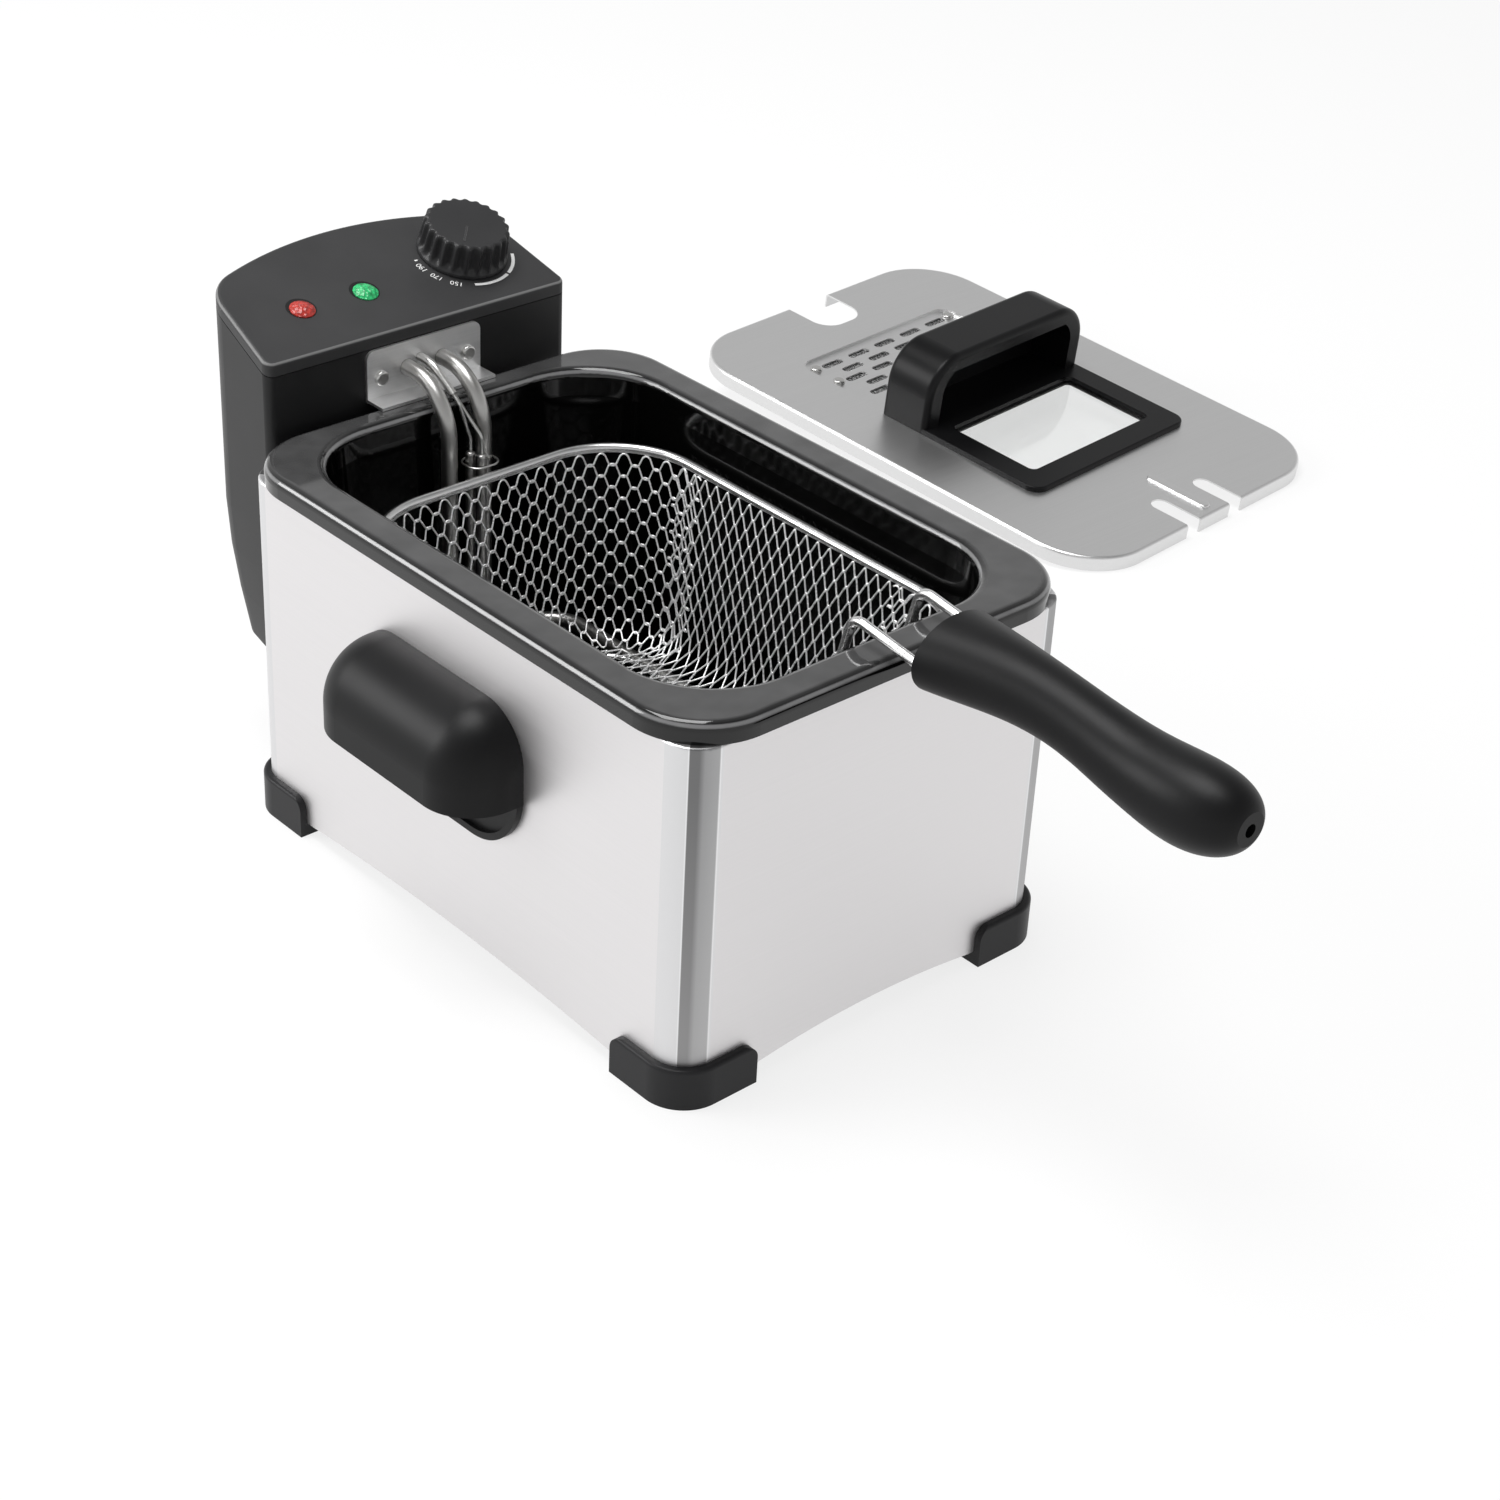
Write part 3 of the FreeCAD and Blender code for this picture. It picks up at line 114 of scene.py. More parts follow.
def tint_where(finish, mask, tint):
    """Lays a grey or a colour socket over the colour that is there, by a mask."""
    colour = finish.node_tree.nodes["Principled BSDF"].inputs["Base Color"]
    mix = add_node(finish, "ShaderNodeMix", data_type="RGBA")
    join(finish, mask, mix.inputs["Factor"])
    join(finish, colour.links[0].from_socket, mix.inputs[MIX_FIRST])
    if isinstance(tint, float):
        mix.inputs[MIX_SECOND].default_value = (tint, tint, tint, 1.0)
    else:
        join(finish, tint, mix.inputs[MIX_SECOND])
    join(finish, mix.outputs[MIX_RESULT], colour)


def spread(finish, mask, limits, target):
    """Value between two limits, by a mask."""
    low, high = limits
    span = add_node(finish, "ShaderNodeMapRange", **{"To Min": low, "To Max": high})
    join(finish, mask, span.inputs["Value"])
    join(finish, span.outputs["Result"], target)


def raise_skin(finish, shader, height, strength, depth):
    """Surface relief on the shader from a height."""
    bump = add_node(finish, "ShaderNodeBump", Strength=strength, Distance=depth)
    join(finish, height, bump.inputs["Height"])
    join(finish, bump.outputs["Normal"], shader.inputs["Normal"])


def grey_ramp(finish, value, stops, cool=1.0):
    """Grey over a value, from stops of place and tone."""
    ramp = add_node(finish, "ShaderNodeValToRGB")
    while len(ramp.color_ramp.elements) < len(stops):
        ramp.color_ramp.elements.new(0.5)
    for element, (place, tone) in zip(ramp.color_ramp.elements, stops):
        element.position = place
        element.color = (tone, tone, tone * cool, 1.0)
    join(finish, value, ramp.inputs["Fac"])
    return ramp.outputs["Color"]


def math_step(finish, operation, first, second=0.0):
    """One sum on values or sockets."""
    step = add_node(finish, "ShaderNodeMath", operation=operation)
    for socket, value in zip(step.inputs, (first, second)):
        if isinstance(value, (int, float)):
            socket.default_value = value
        else:
            join(finish, value, socket)
    return step.outputs["Value"]


def new_effect(name, **fields):
    """Shader group that takes a vector and puts out one noise mask for each field."""
    effect = bpy.data.node_groups.new(name, "ShaderNodeTree")
    effect.interface.new_socket("Vector", in_out="INPUT", socket_type="NodeSocketVector")
    for field in fields:
        effect.interface.new_socket(field, in_out="OUTPUT", socket_type="NodeSocketFloat")
    start, end = effect.nodes.new("NodeGroupInput"), effect.nodes.new("NodeGroupOutput")
    for field, settings in fields.items():
        noise = effect.nodes.new("ShaderNodeTexNoise")
        for key, value in settings.items():
            noise.inputs[key].default_value = value
        effect.links.new(start.outputs["Vector"], noise.inputs["Vector"])
        effect.links.new(noise.outputs["Fac"], end.inputs[field])
    return effect


def use_effect(finish, effect, vector):
    """Places the group in the finish and gives back its masks."""
    group = add_node(finish, "ShaderNodeGroup", node_tree=effect)
    join(finish, vector, group.inputs["Vector"])
    return group.outputs


linished = new_effect("linished_grain", Grain={"Scale": 1.0, "Detail": 4.0, "Roughness": 0.65})
GRAIN_DEPTH = 0.05 * MM


def brushed_steel(name, dark, light, rough, stretch, turn=(0, 0, 0), relief=0.08):
    """Steel with a grain that is drawn out by the stretch."""
    finish, shader = new_finish(name, light, rough[0], metallic=1.0)
    grain = use_effect(finish, linished, place_pattern(finish, stretch, turn))["Grain"]
    two_tone(finish, grain, dark, light, shader.inputs["Base Color"])
    spread(finish, grain, rough, shader.inputs["Roughness"])
    raise_skin(finish, shader, grain, relief, GRAIN_DEPTH)
    return finish


def dress(finish, *nodes):
    """Gives the finish to the solids of these nodes."""
    for node in nodes:
        solid = frame["nodes"][node]
        solid.data.materials.clear()
        solid.data.materials.append(finish)


casing_steel = brushed_steel(
    "casing_steel", (0.735, 0.722, 0.726), (0.780, 0.766, 0.771), rough=(0.40, 0.48),
    stretch=(6, 6, 1400), relief=0.03)
casing_low, casing_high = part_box("outer_casing")
casing_middle = (casing_low + casing_high) / 2
casing_half = (casing_high - casing_low) / 2
CORNER_RADIUS = 15.0 * MM
# Painted reflection on the bent corners: dark and bright vertical bands laid in the colour
# across each corner.
CORNER_REFLECTION_SPAN = 24.0 * MM
CORNER_REFLECTION_SHIFT = 0.31
CORNER_REFLECTION_FOOT, CORNER_REFLECTION_TOP = 10.0 * MM, 140.0 * MM
CORNER_REFLECTION_AT_FOOT = 0.78
CORNER_REFLECTION_COOL = 1.01
CORNER_REFLECTION_TONES = ((0.19, 0.70), (0.215, 0.88), (0.235, 0.18), (0.44, 0.18),
                (0.56, 0.33), (0.85, 0.40), (0.875, 0.88), (0.90, 0.74))


def paint_corner_reflection(finish):
    """Paints a dark and bright reflection over the bent corners, weaker near the feet."""
    axes = add_node(finish, "ShaderNodeSeparateXYZ")
    to_middle = (-casing_middle.x, -casing_middle.y, 0)
    join(finish, place_pattern(finish, shift=to_middle), axes.inputs["Vector"])
    past_x, past_y = (
        math_step(finish, "SUBTRACT", math_step(finish, "ABSOLUTE", axes.outputs[axis]),
                  half - CORNER_RADIUS)
        for axis, half in (("X", casing_half.x), ("Y", casing_half.y)))
    in_corner = math_step(finish, "MULTIPLY", math_step(finish, "GREATER_THAN", past_x),
                          math_step(finish, "GREATER_THAN", past_y))
    height = add_node(finish, "ShaderNodeMapRange", **{
        "From Min": CORNER_REFLECTION_FOOT, "From Max": CORNER_REFLECTION_TOP, "To Min": CORNER_REFLECTION_AT_FOOT})
    join(finish, axes.outputs["Z"], height.inputs["Value"])
    across = math_step(finish, "DIVIDE", math_step(finish, "SUBTRACT", past_y, past_x),
                       CORNER_REFLECTION_SPAN)
    painted_reflection = grey_ramp(finish, math_step(finish, "ADD", across, CORNER_REFLECTION_SHIFT),
                       CORNER_REFLECTION_TONES, CORNER_REFLECTION_COOL)
    tint_where(finish, math_step(finish, "MULTIPLY", in_corner, height.outputs["Result"]),
               painted_reflection)


paint_corner_reflection(casing_steel)
dress(casing_steel, "outer_casing")

# Base plate: dark painted sheet that closes the casing from below, dull and a
# little mottled.
skin = new_effect("moulded_skin", Pits={"Scale": 2600.0, "Detail": 2.0},
                  Haze={"Scale": 38.0, "Detail": 3.0})
PIT_DEPTH = 0.04 * MM


def moulded(name, dark, light, rough, relief, gloss=0.5):
    """Plastic, rubber or paint with fine pits and a slow haze."""
    finish, shader = new_finish(name, light, rough[0])
    shader.inputs["Specular IOR Level"].default_value = gloss
    marks = use_effect(finish, skin, place_pattern(finish))
    two_tone(finish, marks["Haze"], dark, light, shader.inputs["Base Color"])
    spread(finish, marks["Haze"], rough, shader.inputs["Roughness"])
    raise_skin(finish, shader, marks["Pits"], relief, PIT_DEPTH)
    return finish


dark_sheet = moulded(
    "dark_sheet", (0.03, 0.03, 0.032), (0.05, 0.05, 0.052), rough=(0.5, 0.62), relief=0.3)
dress(dark_sheet, "base_plate")

# Corner feet: four wraps of black plastic under the casing's corners, each held
# from below by a screw.
foot_plastic = moulded(
    "foot_plastic", (0.010, 0.010, 0.011), (0.018, 0.018, 0.019), rough=(0.36, 0.48),
    relief=0.35, gloss=0.20)
dress(foot_plastic, "foot_front_left", "foot_front_right", "foot_rear_left", "foot_rear_right")

# Small screws: zinc-plated steel, slightly yellowed and dulled by handling. They hold
# the feet, the side handles, the rail, the element plate and the lid's fittings.
plated_steel = brushed_steel(
    "plated_steel", (0.50, 0.50, 0.49), (0.68, 0.675, 0.66), rough=(0.24, 0.38),
    stretch=(400, 400, 900))
dress(plated_steel, "foot_screws", "side_handle_screws", "rail_screws", "plate_screws",
      "lid_screws")

# Side handles: satin black plastic hoods, open below, each on an oval backplate
# that is screwed through the casing.
handle_plastic = moulded(
    "handle_plastic", (0.003, 0.003, 0.0034), (0.006, 0.006, 0.0064), rough=(0.38, 0.46),
    relief=0.2, gloss=0.18)
dress(handle_plastic, "side_handle_left", "side_handle_right")

# Rear rail: folded strip of plated steel, screwed to the back of the casing. The
# control head slides down on it.
dress(plated_steel, "head_rail")

# Oil tank: pressed pan with a glossy black enamel and a wide turned-over rim. The
# fired glass shows a faint orange peel, and the rim's rounds carry a grey painted highlight.
RIM_DEPTH = 12.0 * MM
RIM_GLOSS = 0.8
# Painted highlight on the rim: grey laid in the colour where the rounds turn from side to top,
# with a fainter painted sheen on the flat.
RIM_HIGHLIGHT_BANDS = ((0.40, 0.0), (0.55, 1.0), (0.70, 1.0), (0.80, 0.05), (0.95, 0.14), (1.0, 0.30))
PEEL_LIFT = 0.5


def by_tilt(finish, stops):
    """Mask over how far the surface faces up."""
    facing = add_node(finish, "ShaderNodeSeparateXYZ")
    surface = add_node(finish, "ShaderNodeNewGeometry")
    join(finish, surface.outputs["Normal"], facing.inputs["Vector"])
    return grey_ramp(finish, facing.outputs["Z"], stops)


def mottle(finish, scale, detail):
    """Soft noise over the piece."""
    field = add_node(finish, "ShaderNodeTexNoise", Scale=scale, Detail=detail)
    join(finish, place_pattern(finish), field.inputs["Vector"])
    return field.outputs["Fac"]


enamel, enamel_shader = new_finish("black_enamel", (0.003, 0.003, 0.003), 0.10)
enamel_shader.inputs["Specular IOR Level"].default_value = 0.08
enamel_shader.inputs["Coat Roughness"].default_value = 0.07
_, tank_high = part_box("oil_tank")
level = add_node(enamel, "ShaderNodeSeparateXYZ")
join(enamel, place_pattern(enamel), level.inputs["Vector"])
on_rim = math_step(enamel, "GREATER_THAN", level.outputs["Z"], tank_high.z - RIM_DEPTH)
join(enamel, math_step(enamel, "MULTIPLY", on_rim, RIM_GLOSS),
     enamel_shader.inputs["Coat Weight"])
peel = mottle(enamel, scale=60.0, detail=2.0)
# Painted highlight and sheen on the rim, broken up by the peel.
rim_highlight = math_step(enamel, "MULTIPLY", on_rim, by_tilt(enamel, RIM_HIGHLIGHT_BANDS))
uneven_rim_highlight = math_step(enamel, "MULTIPLY", rim_highlight, math_step(enamel, "ADD", peel, PEEL_LIFT))
two_tone(enamel, uneven_rim_highlight, (0.0015, 0.0015, 0.0015), (0.17, 0.17, 0.172),
         enamel_shader.inputs["Base Color"])
spread(enamel, peel, (0.08, 0.12), enamel_shader.inputs["Roughness"])
raise_skin(enamel, enamel_shader, peel, strength=0.015, depth=0.4 * MM)
dress(enamel, "oil_tank")

# Control head: tall charcoal plastic housing that hangs behind the casing, with a
# sloping cap. Both have a fine spark-eroded skin.
head_plastic = moulded(
    "head_plastic", (0.007, 0.007, 0.0075), (0.013, 0.013, 0.0135), rough=(0.36, 0.46),
    relief=0.4, gloss=0.26)
dress(head_plastic, "head_body")
panel_plastic = moulded(
    "panel_plastic", (0.026, 0.026, 0.027), (0.038, 0.038, 0.039), rough=(0.40, 0.52),
    relief=0.6, gloss=0.25)
# Painted highlight: a lighter grey laid in the colour along the panel's rounded edges, where the
# surface turns from side to top.
EDGE_HIGHLIGHT_BANDS = ((0.30, 0.0), (0.55, 1.0), (0.80, 1.0), (0.90, 0.0))
EDGE_HIGHLIGHT_TONE = 0.16
RECESS_SHADE_TONE = 0.004
RECESS_SHADE_WIDTH = 1.2 * MM
DOME_HEIGHT = 1.5 * MM
# Painted highlight along the panel's rounded edges.
tint_where(panel_plastic, by_tilt(panel_plastic, EDGE_HIGHLIGHT_BANDS), EDGE_HIGHLIGHT_TONE)
# Painted shade: a near-black ring in the panel's colour round each lens, for the shade of the
# recess it sits in.
for lens_node in ("power_lens", "heat_lens"):
    lens_low, lens_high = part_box(lens_node)
    lens_radius = (lens_high.x - lens_low.x) / 2
    gap = add_node(panel_plastic, "ShaderNodeVectorMath", operation="DISTANCE")
    gap.inputs[1].default_value = (*(lens_low + lens_high).xy / 2, lens_high.z - DOME_HEIGHT)
    join(panel_plastic, place_pattern(panel_plastic), gap.inputs[0])
    recess_shade = math_step(panel_plastic, "LESS_THAN", gap.outputs["Value"], lens_radius + RECESS_SHADE_WIDTH)
    tint_where(panel_plastic, recess_shade, RECESS_SHADE_TONE)
dress(panel_plastic, "head_top_panel")


# Lamps: two clear domed lenses, one red and one green, over a moulded prism pattern.
# Each sits in a seat of the panel, ringed by painted shade, on a holder of pale plastic.
def lamp_lens(name, dark, light):
    """Coloured lens with cells that are darker at their edges."""
    finish, shader = new_finish(name, light, 0.28)
    shader.inputs["Coat Weight"].default_value = 0.15
    shader.inputs["Coat Roughness"].default_value = 0.15
    prism = add_node(finish, "ShaderNodeTexVoronoi", Scale=650.0)
    join(finish, place_pattern(finish), prism.inputs["Vector"])
    two_tone(finish, prism.outputs["Distance"], light, dark, shader.inputs["Base Color"])
    raise_skin(finish, shader, prism.outputs["Distance"], strength=0.8, depth=0.6 * MM)
    return finish


dress(lamp_lens("red_lens", (0.20, 0.006, 0.005), (0.58, 0.045, 0.030)), "power_lens")
dress(lamp_lens("green_lens", (0.002, 0.16, 0.045), (0.030, 0.62, 0.20)), "heat_lens")
pale_plastic = moulded(
    "pale_plastic", (0.52, 0.51, 0.48), (0.66, 0.65, 0.61), rough=(0.40, 0.52), relief=0.3)
dress(pale_plastic, "lamp_holders", "terminal_block", "thermostat")

# Dial knob: black plastic cap on a plated spindle, with flutes for the fingers round
# its side, a plain skirt below them and a thin raised pointer line on its top.
knob_plastic = moulded(
    "knob_plastic", (0.018, 0.018, 0.019), (0.028, 0.028, 0.029), rough=(0.32, 0.42),
    relief=0.35, gloss=0.26)
dress(plated_steel, "knob_spindle")
KNOB_LEVELS = (  # height, radius and depth of the flutes, in millimetres
    (0.5, 19.9, 0.0), (1.7, 20.0, 0.0), (2.2, 19.8, 0.1), (3.0, 19.6, 0.6),
    (4.0, 19.5, 1.3), (5.5, 19.4, 1.7), (9.0, 19.2, 1.7), (12.5, 18.9, 1.6),
    (14.4, 18.7, 1.5), (15.0, 18.4, 1.4), (15.4, 17.8, 1.1), (15.5, 16.9, 0.6))
KNOB_FLUTES = 22
KNOB_SIDES = 12 * KNOB_FLUTES
FLUTE_SHARPNESS = 2.4
SOFT_EDGE = math.radians(38.0)
PANEL_SLOPE = math.radians(17.0)
PANEL_OVER_SPINDLE = 2.75 * MM
spindle_low, spindle_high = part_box("knob_spindle")
knob_axis = Vector((0.0, -math.sin(PANEL_SLOPE), math.cos(PANEL_SLOPE)))
dial_middle = (spindle_low + spindle_high) / 2 + knob_axis * PANEL_OVER_SPINDLE
dial_face = Matrix.Translation(dial_middle) @ Euler((PANEL_SLOPE, 0, 0)).to_matrix().to_4x4()


def add_piece(name, points, faces):
    """Piece from points and faces that are given on the dial's face."""
    mesh = bpy.data.meshes.new(name)
    mesh.from_pydata(points, [], faces)
    mesh.transform(dial_face)
    piece = bpy.data.objects.new(name, mesh)
    bpy.context.scene.collection.objects.link(piece)
    return piece


def on_dial(angle, radius, height, turn=0.0):
    """Place on the dial's face, at an angle and a radius, with a turn of its own."""
    spin = Matrix.Rotation(math.radians(angle), 4, "Z")
    reach = Matrix.Translation((radius, 0.0, height))
    return dial_face @ spin @ reach @ Matrix.Rotation(math.radians(turn), 4, "Z")


def settle(piece, name, place):
    """Names the piece and moves its mesh to its place."""
    piece.name = name
    piece.data.name = name
    piece.data.transform(place)


knob_points = []
for height, radius, depth in KNOB_LEVELS:
    for side in range(KNOB_SIDES):
        angle = math.tau * side / KNOB_SIDES
        flute = 1.0 - abs(math.sin(angle * KNOB_FLUTES / 2)) ** FLUTE_SHARPNESS
        reach = (radius - depth * flute) * MM
        knob_points.append((reach * math.cos(angle), reach * math.sin(angle), height * MM))
bottom = list(range(KNOB_SIDES))
top = [len(knob_points) - KNOB_SIDES + side for side in bottom]
knob_faces = [bottom[::-1], top]
for first in range(0, top[0], KNOB_SIDES):
    for side, after in zip(bottom, bottom[1:] + bottom[:1]):
        knob_faces.append((first + side, first + after,
                           first + after + KNOB_SIDES, first + side + KNOB_SIDES))
knob = add_piece("fluted_knob", knob_points, knob_faces)
knob.data.shade_smooth()
knob.data.set_sharp_from_angle(angle=SOFT_EDGE)
for face in knob.data.polygons:
    face.use_smooth = len(face.vertices) == 4
knob.data.materials.append(knob_plastic)
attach(knob, "dial")
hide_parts("dial_knob")

POINTER_SIZE = (11.0 * MM, 0.9 * MM, 0.3 * MM)
POINTER_ROUND = 0.1 * MM
POINTER_ANGLE, POINTER_REACH, POINTER_HEIGHT = -132.0, 8.0 * MM, 15.55 * MM
bpy.ops.object.select_all(action="DESELECT")
bpy.ops.mesh.primitive_cube_add(size=1.0)
pointer = bpy.context.object
bpy.ops.object.mode_set(mode="EDIT")
bpy.ops.transform.resize(value=POINTER_SIZE)
bpy.ops.mesh.bevel(offset=POINTER_ROUND, segments=2)
bpy.ops.object.mode_set(mode="OBJECT")
settle(pointer, "knob_pointer", on_dial(POINTER_ANGLE, POINTER_REACH, POINTER_HEIGHT))
pointer.data.materials.append(panel_plastic)
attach(pointer, "dial")

# Dial print: white tampo ink on the panel, an arc that stops twice and three plain
# numbers, with the tops of the figures outwards.
ink = moulded(
    "white_print", (0.70, 0.70, 0.70), (0.84, 0.84, 0.83), rough=(0.5, 0.6), relief=0.2)
INK_HEIGHT = 0.06 * MM
ARCS = ((-111.0, -64.0), (-61.0, -24.0), (-187.0, -185.0))
ARC_RADII = (22.0 * MM, 23.5 * MM)
ARC_STEP = 3.0
NUMBERS = ((-131.0, "150"), (-153.0, "170"), (-173.0, "190"))
NUMBER_SIZE, NUMBER_RADIUS = 3.9 * MM, 23.4 * MM
prints = []
for start, end in ARCS:
    steps = max(2, int((end - start) / ARC_STEP))
    points = []
    for step in range(steps + 1):
        angle = math.radians(start + (end - start) * step / steps)
        for radius in ARC_RADII:
            points.append((radius * math.cos(angle), radius * math.sin(angle), INK_HEIGHT))
    faces = [(2 * s, 2 * s + 1, 2 * s + 3, 2 * s + 2) for s in range(steps)]
    prints.append(add_piece(f"dial_print_{len(prints)}", points, faces))
for angle, figures in NUMBERS:
    bpy.ops.object.select_all(action="DESELECT")
    bpy.ops.object.text_add()
    text = bpy.context.object.data
    text.body = figures
    text.size = NUMBER_SIZE
    text.align_x = "CENTER"
    text.align_y = "CENTER"
    bpy.ops.object.convert(target="MESH")
    number = bpy.context.object
    settle(number, f"dial_print_{len(prints)}",
           on_dial(angle, NUMBER_RADIUS, INK_HEIGHT, turn=-90.0))
    prints.append(number)
for piece in prints:
    piece.data.materials.append(ink)
    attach(piece, "head")

# Inside the head: overheat limiter with its red reset button, safety switch, cord
# gland and the covered leads between them.
dress(head_plastic, "overheat_limiter", "safety_switch")
rubber = moulded(
    "black_rubber", (0.010, 0.010, 0.010), (0.020, 0.020, 0.020), rough=(0.55, 0.68), relief=0.4)
dress(rubber, "cord_gland", "window_seal")
reset_red = moulded(
    "reset_red", (0.42, 0.012, 0.010), (0.60, 0.025, 0.020), rough=(0.32, 0.42), relief=0.25)
dress(reset_red, "reset_button")
wire_cover = moulded(
    "wire_cover", (0.10, 0.16, 0.30), (0.16, 0.23, 0.40), rough=(0.38, 0.48), relief=0.2)
dress(wire_cover, "internal_wires")

# Element plate and heating element: a pressed steel plate on the head's front with
# one long bent tube, satin and slightly tinted by heat.
plate_steel = brushed_steel(
    "plate_steel", (0.76, 0.76, 0.76), (0.94, 0.94, 0.94), rough=(0.34, 0.46),
    stretch=(30, 900, 900))
dress(plate_steel, "element_plate")
tube_steel, tube_shader = new_finish("element_steel", (0.42, 0.42, 0.41), 0.34, metallic=1.0)
heat_tint = mottle(tube_steel, scale=70.0, detail=4.0)
two_tone(tube_steel, heat_tint, (0.32, 0.31, 0.30), (0.52, 0.52, 0.51),
         tube_shader.inputs["Base Color"])
spread(tube_steel, heat_tint, (0.28, 0.42), tube_shader.inputs["Roughness"])
raise_skin(tube_steel, tube_shader, heat_tint, strength=0.05, depth=0.2 * MM)
dress(tube_steel, "heating_element", "thermostat_bulb", "limiter_bulb")
dress(plated_steel, "thermostat_capillary", "limiter_capillary", "sensor_clip",
      "capillary_sleeve")

# Basket frame: thick bright-plated wire round the mouth, a second loop under the
# floor and two eyelet clips for the handle.
frame_wire = brushed_steel(
    "frame_wire", (0.66, 0.66, 0.66), (0.76, 0.76, 0.76), rough=(0.22, 0.30),
    stretch=(90, 90, 90), relief=0.02)
dress(frame_wire, "basket_rim", "basket_base_wire", "handle_clips", "handle_wires")

# Basket weave: crimped bright wires, each hooked into the next so that they leave
# tall six-sided gaps. Two long walls and the floor are one piece; the end walls are
# bent round the corners and lap over it in a narrow dense band.
WIRE_RADIUS = 0.43 * MM
FOOT_CORE = Vector((26.5, 59.0)) * MM
CORE_GROWTH = Vector((9.3, 11.0)) * MM
FOOT_REACH = 33.2 * MM
WALL_LEAN = 13.9 * MM
FOOT_ROUND = 14.2 * MM
FLOOR_LIFT = 0.8 * MM
RIM_LAP = 0.6 * MM
rim_low, rim_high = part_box("basket_rim")
mesh_low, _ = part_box("basket_mesh")
basket_middle = (rim_low + rim_high) / 2
floor_z = mesh_low.z + FLOOR_LIFT
wall_height = rim_low.z + RIM_LAP - floor_z
wall_length = math.hypot(WALL_LEAN, wall_height)
wall_turn = math.atan2(wall_height, WALL_LEAN)
tangent = FOOT_ROUND * math.tan(wall_turn / 2)
floor_reach = FOOT_REACH - tangent
arc_length = FOOT_ROUND * wall_turn
profile_length = floor_reach + arc_length + wall_length - tangent


def weave_profile(along):
    """Reach from the core and height, at a distance along the basket's section."""
    if along <= floor_reach:
        return along, floor_z
    if along <= floor_reach + arc_length:
        angle = (along - floor_reach) / FOOT_ROUND
        return (floor_reach + FOOT_ROUND * math.sin(angle),
                floor_z + FOOT_ROUND * (1 - math.cos(angle)))
    rest = along - floor_reach - arc_length + tangent
    return FOOT_REACH + rest * math.cos(wall_turn), floor_z + rest * math.sin(wall_turn)


CORNERS = ((1, -1), (1, 1), (-1, 1), (-1, -1))
RUNS = 2 * len(CORNERS)
QUARTER = math.radians(90.0)


def on_weave(round_place, along):
    """Point of the wall: even runs are straight sides, odd runs the corners after them."""
    reach, z = weave_profile(along)
    grown = max(0.0, (z - floor_z) / wall_height)
    core = FOOT_CORE + CORE_GROWTH * grown
    radius = reach - CORE_GROWTH.x * grown
    round_place %= RUNS
    run = int(round_place)
    part = round_place - run
    near, far = CORNERS[run // 2], CORNERS[(run // 2 + 1) % len(CORNERS)]
    start = Vector((near[0] * core.x, near[1] * core.y))
    end = Vector((far[0] * core.x, far[1] * core.y))
    facing = QUARTER * (run // 2)
    foot = start.lerp(end, part)
    if run % 2:
        foot = end
        facing += QUARTER * part
    point = foot + Vector((math.cos(facing), math.sin(facing))) * radius
    return Vector((basket_middle.x + point.x, basket_middle.y + point.y, z))


bright_wire = brushed_steel(
    "bright_wire", (0.78, 0.78, 0.78), (0.95, 0.95, 0.95), rough=(0.22, 0.34),
    stretch=(300, 300, 300))
bright_wire.node_tree.nodes["Principled BSDF"].inputs["Metallic"].default_value = 0.55
weave_curve = bpy.data.curves.new("basket_weave", "CURVE")
weave_curve.dimensions = "3D"
weave_curve.bevel_depth = WIRE_RADIUS
weave_curve.bevel_resolution = 1
weave_curve.use_fill_caps = True


def add_wire(points):
    """Adds one wire to the weave."""
    spline = weave_curve.splines.new("POLY")
    spline.points.add(len(points) - 1)
    for place, point in zip(spline.points, points):
        place.co = (*point, 1.0)


LONG_SIDES, SHORT_SIDES = (0, 4), (2, 6)
LONG_COLUMNS, LONG_ROWS, LONG_LAP = 40, 15, 1
SHORT_COLUMNS, SHORT_ROWS, SHORT_LAP = 14, 18, 2
CORNER_COLUMNS = 12
LAP_PITCH = 0.034
HOOK = 0.38 * MM
# Shares of a column along the wire, and how many hooks the wire has eased back there.
WIDE_CRIMP = ((-0.34, 2.2), (-0.12, 0.0), (0.12, 0.0), (0.34, 2.2))
TIGHT_CRIMP = ((-0.20, 2.2), (-0.06, 0.0), (0.06, 0.0), (0.20, 2.2))


def long_place(side, column):
    """Place round the basket of a column on a long wall."""
    if column < 0:
        return side + column / CORNER_COLUMNS
    if column > LONG_COLUMNS:
        return side + 1 + (column - LONG_COLUMNS) / CORNER_COLUMNS
    return side + column / LONG_COLUMNS


def short_place(side, column):
    """Place round the basket of a column on an end wall, its corners or its laps."""
    if column < -CORNER_COLUMNS:
        return side - 1 + (column + CORNER_COLUMNS) * LAP_PITCH
    if column < 0:
        return side + column / CORNER_COLUMNS
    if column > SHORT_COLUMNS + CORNER_COLUMNS:
        return side + 2 + (column - SHORT_COLUMNS - CORNER_COLUMNS) * LAP_PITCH
    if column > SHORT_COLUMNS:
        return side + 1 + (column - SHORT_COLUMNS) / CORNER_COLUMNS
    return side + column / SHORT_COLUMNS


